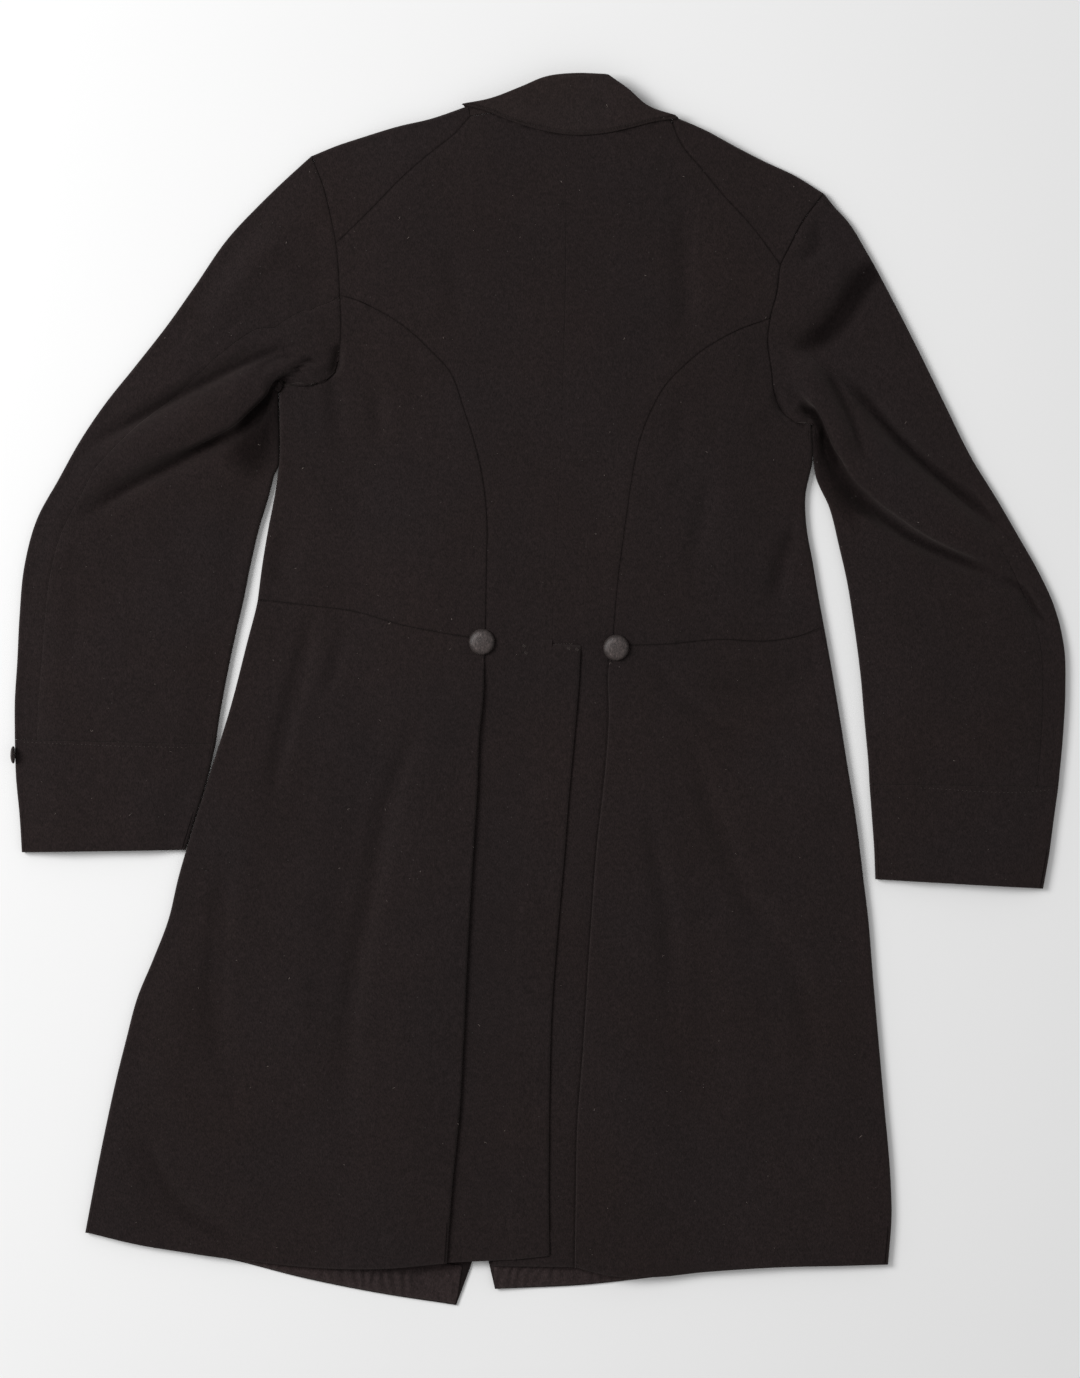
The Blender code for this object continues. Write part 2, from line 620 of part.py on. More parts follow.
def forepart(side):
    """The forepart, from the shoulder seam on the back over the shoulder to the waist underneath."""
    sign = SIGN[side]
    holes = np.array(ARMHOLE[side], dtype=float) + hole_clearance(side)
    seam = halved(SHOULDER_SEAM[side])
    edge = halved(SHOULDER_EDGE[side])
    tangent = np.gradient(edge, axis=0)
    tangent /= np.hypot(*tangent.T)[:, None]
    inward = np.column_stack([tangent[:, 1], -tangent[:, 0]])
    inward *= np.sign(-inward[:, 1])[:, None]
    inward[-1] = armhole_top_way(side)
    edge[-1] = holes[0]
    crest = edge + inward * TURN
    hole_side = np.vstack([holes[3], holes[2], holes[1], crest[-1]])
    upper = patch(straight(seam[0], crest[0], 4), hole_side, np.vstack([seam[:-1], holes[3]]), crest)
    upper = inset(upper, first_row=SEAM_GAP / 2)
    wrap, share = turned_edge(edge, inward, TURN)

    roll = np.array(ROLL_LINE[side], dtype=float)
    waist_y = under_waist_y(side)
    outer = np.vstack([crest[-1], holes[1:10], side_seam(side)[1:]])
    down = (roll[1] - roll[0]) / np.hypot(*(roll[1] - roll[0]))
    clear = across_roll(side) * ROLL_CLEAR
    inner_roll = straight(roll[0] + down * 6 + clear, roll[1] + clear, 10)
    inner_roll[0] = crest[0]
    front_y = np.linspace(roll[1, 1], waist_y, 7)[1:]
    front = np.column_stack([np.full(6, float(FRONT_EDGE[side][0][0])), front_y])
    inner = np.vstack([inner_roll, front])
    below = patch(outer, inner, crest[::-1], straight(outer[-1], inner[-1], len(crest)))
    below = inset(below, last_row=SEAM_GAP / 2)
    below[10:, 0, 0] -= sign * SEAM_GAP / 2

    def under(x, y):
        return front_bottom(side, x, y)

    grids = [lifted(upper, body_top), lifted(wrap, body_top, under, share), lifted(below, under)]
    return cloth_panel("forepart_" + side, grids, True)


def armhole_top_way(side):
    """Direction in the plan from the shoulder point down the armhole."""
    a, b = (np.array(p, dtype=float) for p in ARMHOLE[side][:2])
    return (b - a) / np.hypot(*(b - a))


def under_waist_y(side):
    """Height in the plan of the waist seam underneath, level with the seam at the side edge."""
    return WAIST_SEAM[side][0][1]


def skirt(side):
    """One skirt, from the rear pleat's fold round the side edge to the front edge underneath."""
    sign = SIGN[side]
    waist = waist_points(side)
    hem = spline(SKIRT_HEM[side], len(waist))
    hem[0, 0] -= sign * TURN
    pleat_y = np.concatenate([np.linspace(waist[-1, 1], PLEAT_START_Y, 3),
                              np.linspace(PLEAT_START_Y, hem[-1, 1], SKIRT_ROWS)[1:]])
    share_down = (waist[-1, 1] - pleat_y) / (waist[-1, 1] - hem[-1, 1])
    edge_y = waist[0, 1] + (hem[0, 1] - waist[0, 1]) * share_down
    edge, inward = side_edge_rows(side, edge_y)
    pleat = at_heights(PLEAT_EDGE[side], pleat_y)
    pleat[:, 0] += sign * PLEAT_TURN
    waist[-1] = pleat[0]
    hem[-1] = pleat[-1]
    outer = edge + inward * TURN
    waist[0], hem[0] = outer[0], outer[-1]
    upper = inset(patch(outer, pleat, waist, hem), first_row=SEAM_GAP / 2)
    edge = upper[:, 0] - inward * TURN
    wrap, share = turned_edge(edge, inward, TURN)

    front_hem = spline(FRONT_HEM[side], UNDER_COLUMNS)
    under_y = np.linspace(under_waist_y(side) - SEAM_GAP / 2, FRONT_EDGE[side][-1][1], len(edge))
    front = at_heights(FRONT_EDGE[side], np.minimum(under_y, FRONT_EDGE[side][0][1]))
    front[:, 1] = under_y
    under_edge = upper[:, 0]
    front_hem[0], front_hem[-1] = under_edge[-1], front[-1]
    below = patch(under_edge, front, straight(under_edge[0], front[0], UNDER_COLUMNS), front_hem)

    low = 2
    fold_edge = upper[low:, -1] - np.array([sign * PLEAT_TURN, 0.0])
    away = np.tile([sign, 0.0], (len(fold_edge), 1))
    fold, fold_share = turned_edge(fold_edge, away, PLEAT_TURN)
    fold[:, 0] = upper[low:, -1]
    inner = fold[:, -1]
    far = inner + away * UNDERLAY
    underlay = patch(inner, far, straight(inner[0], far[0], 3), straight(inner[-1], far[-1], 3))

    def top(x, y):
        return skirt_top(side, x, y)

    def under(x, y):
        return front_bottom(side, x, y)

    def over_tail(x, y):
        return skirt_top(side, x, y) - 2 * PLEAT_TURN

    grids = [lifted(upper, top), lifted(wrap, top, under, share), lifted(below, under),
             lifted(fold, top, over_tail, fold_share), lifted(underlay, over_tail)]
    return cloth_panel("skirt_" + side, grids, True)


def sleeve_borders(side):
    """Both edges of a flattened sleeve and the ways in from them."""
    rows = np.array(SLEEVE[side], dtype=float)
    outer, inner = rows[:, :2], rows[:, 2:]
    across = (inner - outer) / np.hypot(*(inner - outer).T)[:, None]
    ways = []
    for line, start, inside in ((outer, ARMHOLE[side][1], across), (inner, ARMHOLE[side][10], -across)):
        tangent = np.gradient(np.vstack([start, line]), axis=0)[1:]
        tangent /= np.hypot(*tangent.T)[:, None]
        way = np.column_stack([tangent[:, 1], -tangent[:, 0]])
        way *= np.sign((way * inside).sum(axis=1))[:, None]
        way[-1] = inside[-1]
        ways.append(way)
    ways[0][0] = armhole_top_way(side)
    outer[0] = outer[0] - hole_clearance(side)[0] * 5.0
    return outer, ways[0], inner, ways[1]


def sleeve_grid(side, stations, shares_at):
    """Plan grid across a sleeve between its turned edges.

    stations are places on the armhole; shares_at gives the shares of the width further down.
    """
    outer, out_way, inner, in_way = sleeve_borders(side)
    start, end = outer + out_way * TURN, inner + in_way * TURN
    reach = shares((outer + inner) / 2)
    holes = np.array(ARMHOLE[side], dtype=float) - hole_clearance(side)
    holes[0], holes[11] = start[0], end[0]
    curve = np.column_stack([np.interp(stations, np.arange(12.0), holes[:, k]) for k in (0, 1)])
    chord = end[0] - start[0]
    along = np.clip(((curve - start[0]) @ chord) / (chord @ chord), 0.0, 1.0)
    bulge = curve - (start[0] + chord * along[:, None])
    fade = 0.16 - 0.156 * (stations / 11.0) ** 2
    settle = 0.12 - 0.085 * (stations / 11.0) ** 2
    grid = np.zeros((len(outer), len(stations), 2))
    for k, share in enumerate(reach):
        mix = smooth(share / settle)
        across = along * (1 - mix) + shares_at(share) * mix
        grid[k] = start[k] + (end[k] - start[k]) * across[:, None]
        grid[k] += bulge * (1.0 - smooth(share / fade))[:, None]
    return grid


def floor(x, y):
    """The surface that the coat lies on."""
    return np.zeros(np.shape(x))


def sleeve(side):
    """Top sleeve and under sleeve, each a sheet round one edge of the flattened sleeve."""
    outer, out_way, inner, in_way = sleeve_borders(side)
    hind = np.array(HIND_SEAM[side])
    gap = SEAM_GAP / 2

    def seam_share(reach):
        return np.interp(reach, hind[:, 0], hind[:, 1])

    upper = sleeve_grid(side, np.arange(6.0), lambda r: np.linspace(0.0, 1.0, 6) * seam_share(r))
    under = sleeve_grid(side, np.arange(9.0), lambda r: np.linspace(0.0, FOREARM_SEAM, 9))
    upper = inset(upper, last_row=gap, last_col=gap)
    under = inset(under, last_row=gap, last_col=gap)
    under[:, 0] = upper[:, 0]
    wrap, share = turned_edge(upper[:, 0] - out_way * TURN, out_way, TURN)
    cloth_panel("sleeve_top_" + side,
                [lifted(upper, sleeve_top), lifted(wrap, sleeve_top, floor, share), lifted(under, floor)], True)

    upper = sleeve_grid(side, np.linspace(5.0, 11.0, 13),
                        lambda r: seam_share(r) + (1.0 - seam_share(r)) * np.linspace(0.0, 1.0, 13))
    under = sleeve_grid(side, np.array([11.0, 10.0, 9.0, 8.0]), lambda r: np.linspace(1.0, FOREARM_SEAM, 4))
    upper = inset(upper, last_row=gap, first_col=gap)
    under = inset(under, last_row=gap, last_col=gap)
    under[:, 0] = upper[:, -1]
    wrap, share = turned_edge(upper[:, -1] - in_way * TURN, in_way, TURN)
    cloth_panel("sleeve_under_" + side,
                [lifted(upper, sleeve_top), lifted(wrap, sleeve_top, floor, share), lifted(under, floor)], True)


def cuff(side):
    """The cuff, a flattened ring of cloth below the sleeve."""
    rows = np.array(CUFF[side], dtype=float)
    outer, inner = rows[:, :2], rows[:, 2:]
    inward = (inner - outer) / np.hypot(*(inner - outer).T)[:, None]
    left, right = outer + inward * TURN, inner - inward * TURN
    face = patch(left, right, straight(left[0], right[0], 8), straight(left[-1], right[-1], 8))
    face = inset(face, first_row=SEAM_GAP / 2)
    wrap_out, share = turned_edge(face[:, 0] - inward * TURN, inward, TURN)
    wrap_in, _ = turned_edge(face[:, -1] + inward * TURN, -inward, TURN)

    grids = [lifted(face, sleeve_top), lifted(wrap_out, sleeve_top, floor, share),
             lifted(wrap_in, sleeve_top, floor, share), lifted(face, floor)]
    return cloth_panel("cuff_" + side, grids, True)


def collar():
    """The collar's fall on the back, its roll and the stand inside it."""
    rows = np.array(COLLAR, dtype=float)
    roll = spline(rows[:, 0:2], COLLAR_COLUMNS)
    outer = spline(rows[:, 2:4], COLLAR_COLUMNS)
    neck = np.column_stack([np.linspace(NECK_SEAM[0, 0], NECK_SEAM[-1, 0], COLLAR_COLUMNS),
                            np.zeros(COLLAR_COLUMNS)])
    neck[:, 1] = np.interp(neck[:, 0], NECK_SEAM[:, 0], NECK_SEAM[:, 1])
    radius = (2 * CLOTH + LAYER_GAP) / 2
    down = outer - roll
    down /= np.hypot(*down.T)[:, None]
    inside = roll + down * radius
    fall = patch(outer, inside, straight(outer[0], inside[0], 4), straight(outer[-1], inside[-1], 4))
    wrap, share = turned_edge(roll, down, radius)
    stand = patch(inside, neck, straight(inside[0], neck[0], 3), straight(inside[-1], neck[-1], 3))
    stand = inset(stand, last_col=2 * SEAM_GAP)

    def top(x, y):
        return body_top(x, y) + LAP

    def under(x, y):
        return body_top(x, y) - CLOTH

    grids = [lifted(fall, top), lifted(wrap, top, under, share), lifted(stand, under)]
    return cloth_panel("collar", grids, True, COLLAR_COLOR)


def roll_point(side, share):
    """Point of the roll line at a share of the way from the break to the neck."""
    neck, break_point = (np.array(p, dtype=float) for p in ROLL_LINE[side])
    return break_point + (neck - break_point) * np.asarray(share)[..., None]


def across_roll(side):
    """Direction in the plan from the roll line over the forepart."""
    neck, break_point = (np.array(p, dtype=float) for p in ROLL_LINE[side])
    along = (neck - break_point) / np.hypot(*(neck - break_point))
    across = np.array([along[1], -along[0]])
    return across * np.sign(across[0] * SIGN[side])


def under_front(name, side, widths, count, turned=True):
    """A lapel or collar leaf that lies under the forepart; a lapel turns at the roll line."""
    table = np.array(widths)
    share = np.linspace(table[0, 0], table[-1, 0], count)
    wide = np.interp(share, table[:, 0], table[:, 1])
    across = np.tile(across_roll(side), (count, 1))
    roll = roll_point(side, share)
    radius = (CLOTH + FRONT_LAP) / 2
    inside = roll + across * radius
    far = roll + across * wide[:, None]
    flat = patch(inside, far, straight(inside[0], far[0], 4), straight(inside[-1], far[-1], 4))

    def upper(x, y):
        return front_bottom(side, x, y) + CLOTH

    def lower(x, y):
        return front_bottom(side, x, y) - FRONT_LAP

    grids = [lifted(flat, lower)]
    if turned:
        wrap, turn_share = turned_edge(roll, across, radius)
        lip_end = roll + across * (ROLL_CLEAR - SEAM_GAP)
        lip = patch(lip_end, inside, straight(lip_end[0], inside[0], 2),
                    straight(lip_end[-1], inside[-1], 2))
        grids += [lifted(wrap, upper, lower, turn_share), lifted(lip, upper)]
    return cloth_panel(name, grids, False)


def button(name, sizes, color=BUTTON_COLOR):
    """A cloth-covered button: a turned dome with a rounded rim and a flat back."""
    radius, height = sizes["radius"], sizes["height"]
    profile = [(share * radius, rise * height) for share, rise in sizes["profile"]]
    outline = bmesh.new()
    verts = [outline.verts.new((r * MM, 0.0, z * MM)) for r, z in profile]
    for a, b in zip(verts[:-1], verts[1:]):
        outline.edges.new((a, b))
    mesh = bpy.data.meshes.new(name)
    outline.to_mesh(mesh)
    outline.free()
    piece = link(name, mesh, color, 0.8)
    turned = piece.modifiers.new("turned", "SCREW")
    turned.steps = sizes["sides"]
    turned.render_steps = sizes["sides"]
    turned.use_merge_vertices = True
    turned.merge_threshold = 0.01 * MM
    turned.use_smooth_shade = True
    return piece


def highest(surface, x, y, radius):
    """Highest point of a surface under a round button."""
    ring = np.linspace(0.0, 2 * math.pi, 12, endpoint=False)
    return float(np.max(surface(x + radius * np.cos(ring), y + radius * np.sin(ring))))


def buttons():
    """Two at the back waist, two columns on the front and one on each cuff."""
    for side, (x, y) in BACK_BUTTON_AT.items():
        piece = button("back_button_" + side, BACK_BUTTON)
        tops = [highest(surface, x, y, BACK_BUTTON["radius"]) for surface in
                (body_top, lambda a, b: skirt_top(side, a, b))]
        piece.location = (x * MM, y * MM, (max(tops) + 0.3) * MM)
    for column, x in zip(("left", "right"), FRONT_BUTTON_COLUMNS):
        for row, y in enumerate(FRONT_BUTTON_ROWS, start=1):
            piece = button("front_button_%s_%d" % (column, row), FRONT_BUTTON)
            piece.rotation_euler = (math.pi, 0.0, 0.0)
            piece.location = (x * MM, y * MM, (FRONT_LIFT - 0.3) * MM)
    for side, sign in SIGN.items():
        if side == "left":
            piece = button("cuff_button_" + side, CUFF_BUTTON)
            rows = np.array(CUFF[side], dtype=float)
            x = np.interp(CUFF_BUTTON_Y, rows[::-1, 1], rows[::-1, 0])
            piece.rotation_euler = (0.0, sign * math.pi / 2, 0.0)
            piece.location = ((x + sign * 0.3) * MM, CUFF_BUTTON_Y * MM, (CUFF_BUTTON["radius"] + 0.3) * MM)


def clear_scene():
    for item in list(bpy.data.objects):
        bpy.data.objects.remove(item, do_unlink=True)


def centre_on_origin():
    """Move the coat so that its box stands on the origin by the middle of its base."""
    bpy.context.view_layer.update()
    graph = bpy.context.evaluated_depsgraph_get()
    points = []
    for piece in bpy.data.collections[OBJECT_NAME].objects:
        seen = piece.evaluated_get(graph)
        mesh = seen.to_mesh()
        co = np.empty(len(mesh.vertices) * 3)
        mesh.vertices.foreach_get("co", co)
        matrix = np.array(piece.matrix_world)
        points.append(co.reshape(-1, 3) @ matrix[:3, :3].T + matrix[:3, 3])
        seen.to_mesh_clear()
    points = np.vstack(points)
    low, high = points.min(axis=0), points.max(axis=0)
    shift = ((low[0] + high[0]) / 2, (low[1] + high[1]) / 2, low[2])
    for piece in bpy.data.collections[OBJECT_NAME].objects:
        piece.location = [a - b for a, b in zip(piece.location, shift)]
    print("box mm", np.round((high - low) / MM, 2), "shift mm", np.round(np.array(shift) / MM, 3))


def main():
    clear_scene()
    parts = bpy.data.collections.new(OBJECT_NAME)
    bpy.context.scene.collection.children.link(parts)
    for side in SIGN:
        back(side)
        side_body(side)
        forepart(side)
        skirt(side)
        sleeve(side)
        cuff(side)
        under_front("lapel_" + side, side, LAPEL_WIDTH[side], 7)
        under_front("collar_leaf_" + side, side, COLLAR_LEAF, 3, turned=False)
    collar()
    buttons()
    centre_on_origin()


main()
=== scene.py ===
"""A long double-breasted wool coat laid face down, dressed in thin cloth pieces on its solid model.

The plan tables are in millimetres: X to the right, Y towards the collar, Z up from the surface.
The coat's own left side lies at -X, because its front is underneath.
"""
import math
from functools import partial

import bmesh
import bpy
import numpy as np
from bpy.props import FloatProperty, FloatVectorProperty, IntProperty, PointerProperty
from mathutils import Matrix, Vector


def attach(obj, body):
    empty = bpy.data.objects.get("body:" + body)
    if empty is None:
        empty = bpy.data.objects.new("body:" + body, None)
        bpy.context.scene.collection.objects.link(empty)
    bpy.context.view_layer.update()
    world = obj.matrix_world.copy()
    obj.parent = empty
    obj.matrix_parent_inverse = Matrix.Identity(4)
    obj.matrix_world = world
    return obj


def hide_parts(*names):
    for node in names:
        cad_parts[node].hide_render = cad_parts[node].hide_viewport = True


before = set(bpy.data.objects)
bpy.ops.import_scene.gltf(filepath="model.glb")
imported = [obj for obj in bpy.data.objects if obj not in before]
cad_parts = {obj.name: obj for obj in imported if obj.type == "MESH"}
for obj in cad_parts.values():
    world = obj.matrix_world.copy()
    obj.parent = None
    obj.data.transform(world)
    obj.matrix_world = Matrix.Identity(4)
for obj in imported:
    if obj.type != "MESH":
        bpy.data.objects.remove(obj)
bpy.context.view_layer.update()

bl_info = {
    "name": "Laid double-breasted coat",
    "version": (1, 0, 0),
    "blender": (4, 5, 0),
    "location": "View3D > Sidebar > Coat",
    "description": "Wool panels, seams, folds, stitches and covered buttons of a coat laid face down",
    "category": "Object",
}

MM = 0.001
# Place of the plan's origin in the frame
PLAN_X, PLAN_Y = 0.447, 0.784

# Cloth and the gaps between pieces
CLOTH = 2.0
SEAM_GAP = 0.16
FAINT_GAP = 0.02
LAYER_GAP = 0.4
LAP = 2.0
FRONT_LAP = CLOTH + 2 * LAYER_GAP

# Heights of the laid coat
EDGE_HEIGHT = 6.5
BODY_HEIGHT = 8.0
CENTRE_RISE = 2.5
SLEEVE_HEIGHT = 10.0
TURN = EDGE_HEIGHT / 2
FRONT_LIFT = 4.3
LOWEST_SLEEVE = 2.6
ARMHOLE_RISE = 1.8
TAIL_HEIGHT = 10.0
PLEAT_TURN = 1.85
PLEAT_STACK = 2 * PLEAT_TURN + 0.3
# A skirt never sinks below this, so that it covers the front's turned hem
HEM_STACK = 4.6
PUCKER_HEIGHT = 2.2

# Widths over which the cloth rises from its edges to its full height
BODY_EASE = 45.0
SLEEVE_EASE = 35.0
FOLD_EASE = 12.0
ARMHOLE_EASE = 60.0
PLEAT_EASE = (36.0, 75.0)

# Main places in the plan
WAIST_Y = 42.0
PLEAT_START_Y = -5.0
CENTRE_X = 8.0
CENTRE_REACH = 150.0
LIFT_X = 20.0
LIFT_REACH = 185.0
LIFT_LOW_Y = -60.0
ROLL_CLEAR = 6.5
UNDERLAY = 28.0
UNDERLAP = 24.0
# Rows of a tail from the waist down to where the pleat starts
PLEAT_ROWS = 14
SIDE_SEAM_INSET = 38.0
FOREARM_SEAM = 0.85
# The sleeves lie against the body down to here
TOUCH_Y = {"left": 181.0, "right": 194.0}

BACK_BUTTON_AT = {"left": (-49.0, 40.0), "right": (65.0, 35.0)}
FRONT_BUTTON_COLUMNS = (-60.0, 80.0)
FRONT_BUTTON_ROWS = (58.0, 148.0, 238.0)
CUFF_BUTTON_Y = -56.0
SIGN = {"left": -1.0, "right": 1.0}

# Armhole, x and y of twelve stations from the shoulder point down to the underarm.
# Station 3 meets the shoulder seam, station 5 the side-back and hind-arm seams, 9 the side seam.
ARMHOLE = {
    "left": ((-194, 454), (-184, 428), (-178, 404), (-173, 379), (-171, 357), (-170, 335),
             (-169, 313), (-170, 290), (-174, 269), (-183, 262), (-199, 258), (-222, 258)),
    "right": ((242, 422), (224, 398), (213, 377), (205, 361), (202, 338), (196, 315),
              (194, 297), (197, 273), (200, 251), (206, 237), (217, 227), (232, 222)),
}
# Shoulder seam, x and y from the neck to the armhole
SHOULDER_SEAM = {
    "left": ((-59, 487), (-71, 473), (-92, 456), (-112, 439), (-143, 408), (-173, 379)),
    "right": ((111.5, 484.5), (121, 462), (136, 444), (155, 421), (180, 394), (205, 361)),
}
# Shoulder edge of the laid coat, x and y from the neck to the armhole
SHOULDER_EDGE = {
    "left": ((-61, 496), (-93, 485), (-119, 479), (-147, 471), (-172, 463), (-194, 454)),
    "right": ((114.5, 487), (142, 475), (164, 463), (190, 450), (218, 437), (242, 422)),
}
# Side-back seam, x and y from the armhole to the waist
SIDE_BACK_SEAM = {
    "left": ((-170, 335), (-156, 331), (-137, 322), (-119, 311), (-104, 299), (-91, 286),
             (-77, 271), (-64, 237), (-51, 193), (-45, 152), (-45, 101), (-46, 42)),
    "right": ((196, 315), (173, 307), (153, 297), (136, 286), (121, 273), (107, 258),
              (96, 239), (86, 214), (78, 176), (73, 140), (67, 95), (62, 37)),
}
# Side edge of the body and skirt as it lies, x and y from the underarm to the hem
SIDE_EDGE = {
    "left": ((-222, 258), (-223, 180), (-229, 148), (-236, 107), (-240, 76), (-249, 40),
             (-263.4, -16), (-277, -60), (-299.5, -132), (-308, -162), (-316, -196), (-329, -230),
             (-343, -264), (-352, -298), (-360.5, -332), (-368, -366), (-375, -400), (-387, -463)),
    "right": ((232, 222), (232, 189), (226, 161), (232, 113), (240, 66), (243, 50),
              (255, -19), (262, -63), (270, -113), (276, -162), (280, -195), (284, -244),
              (293, -347), (299, -417), (300, -446), (297, -490)),
}
# Waist seam on the back, x and y from the side edge to the pleat
WAIST_SEAM = {
    "left": ((-240, 76), (-204, 72), (-153, 65), (-119, 55), (-85, 48), (-46, 42)),
    "right": ((242, 52), (221, 45), (198, 41), (153, 42), (107, 38), (62, 37)),
}
# Folded edge of the rear pleat, x and y from the waist to the hem
PLEAT_EDGE = {
    "left": ((-46, 42), (-47, 20), (-48, -9), (-51, -37), (-53, -88), (-56, -134), (-61, -222),
             (-65, -307), (-68, -360), (-74, -421), (-79, -488)),
    "right": ((62, 37), (59, 20), (59, -24), (54, -88), (50, -122), (43, -213), (37, -307),
              (32, -375), (31, -426), (30, -492)),
}
# Back hem of the skirt, x and y from the side edge to the pleat
SKIRT_HEM = {
    "left": ((-387, -463), (-341, -473), (-299, -480), (-239, -488), (-185, -493), (-136, -493),
             (-79, -488)),
    "right": ((297, -490), (255, -491), (205, -492), (141, -496), (100, -500), (60, -499),
              (30, -492)),
}
# Front hem, which shows below the back hem, x and y from the side edge to the front corner
FRONT_HEM = {
    "left": ((-387, -463), (-330, -474), (-260, -487), (-201, -502), (-136, -515), (-71, -525)),
    "right": ((297, -490), (240, -490), (160, -494), (100, -501), (35, -508), (-38, -511)),
}
# Front edge of each front, x and y from the waist to the hem corner
FRONT_EDGE = {
    "left": ((99, 42), (-10, -330), (-57, -487), (-71, -525)),
    "right": ((-79, 42), (-52, -360), (-43, -489), (-38, -511)),
}
ROLL_LINE = {"left": ((-59, 490), (94, 250)), "right": ((113, 482), (-74, 246))}
CENTRE_SEAM = ((23, 481), (22, 331), (19, 237), (17, 169), (12, 88), (11, 42))
VENT_EDGE = ((35, 37), (33.5, 5), (30.5, -31), (24.5, -97), (21.5, -137), (15.5, -205), (10.4, -273),
             (8.7, -330), (8, -385), (7.8, -430), (8.5, -482))
VENT_UNDERLAP = ((-17, 36), (-40, -491))
VENT_MIDDLE = {"left": ((11, 42), (-20, -485)), "right": ((11, 42), (0, -491))}
# Hem of each tail at its pleat and at the middle
TAIL_HEM_Y = {"left": (-488.0, -485.0), "right": (-492.0, -491.5)}

# Collar stations: roll x and y, outer edge x and y, neck seam x and y
COLLAR = (
    (-63, 498, -66, 496.5, -59, 487),
    (-42, 502, -48, 492, -40, 489),
    (-17, 511, -24, 482, -15, 486),
    (5, 520, 0, 474.5, 5, 483),
    (32, 523, 30, 470, 32, 481),
    (58, 522, 58, 472, 60, 482),
    (75, 510, 80, 477, 78, 484),
    (92, 496, 98, 482, 94, 486),
    (115, 488, 118, 485, 111, 484.5),
)
# Width of the turned lapel along its roll line: share of the way up, width
LAPEL_WIDTH = {
    "left": ((0.03, 12.0), (0.25, 46.0), (0.5, 78.0), (0.70, 98.0), (0.82, 60.0)),
    "right": ((0.54, 82.0), (0.62, 90.0), (0.70, 98.0), (0.82, 60.0)),
}
# The same for the collar's leaf
COLLAR_LEAF = ((0.85, 44.0), (0.93, 48.0), (1.0, 40.0))

# Sleeve stations: outer x and y, inner x and y, from the armhole to the cuff seam
SLEEVE = {
    "left": ((-194, 454, -222.9, 258.4), (-212, 438, -223.0, 257.2), (-236, 415, -222.8, 254.5),
             (-266, 383, -222.5, 248), (-293, 344, -222.3, 238), (-317, 310, -222.4, 222),
             (-346, 273, -223.2, 198), (-370, 243, -229.5, 168), (-391, 212, -239, 136),
             (-410, 178, -246, 106), (-428, 145, -252, 76), (-439, 104, -258, 50),
             (-443, 62, -264, 22), (-445, 22, -269, -4), (-447, -10, -273, -27),
             (-447, -43, -275.8, -47)),
    "right": ((242, 422, 233.0, 221.4), (251, 411, 233.3, 220.2), (262, 399, 233.3, 217.5),
              (280, 370, 233.1, 211), (300, 333, 233.1, 201), (322, 290, 235, 182),
              (345, 243, 247, 154), (369, 195, 255, 122), (390, 161, 262, 91),
              (408, 130, 267, 60), (425, 100, 271, 32), (439, 69, 274, 6),
              (447, 35, 276, -18), (448, 0, 278, -40), (446, -40, 280, -62),
              (442, -83, 281, -81)),
}
# Cuff stations in the same order, from the cuff seam to the edge
CUFF = {
    "left": ((-447, -43, -275.8, -47), (-446, -75, -283.2, -78), (-443, -107, -292.2, -107),
             (-441, -139, -301.4, -137)),
    "right": ((442, -83, 281, -81), (438, -112, 283, -108), (434, -142, 285, -136),
              (429, -170, 286, -162)),
}
# Hind-arm seam: share of the way down the sleeve, share of the way across it
HIND_SEAM = {
    "left": ((0.0, 0.5), (0.09, 0.62), (0.24, 0.38), (0.41, 0.2), (0.52, 0.12), (1.0, 0.1)),
    "right": ((0.0, 0.5), (0.08, 0.62), (0.17, 0.55), (0.35, 0.31), (0.49, 0.14), (0.6, 0.1),
              (1.0, 0.1)),
}

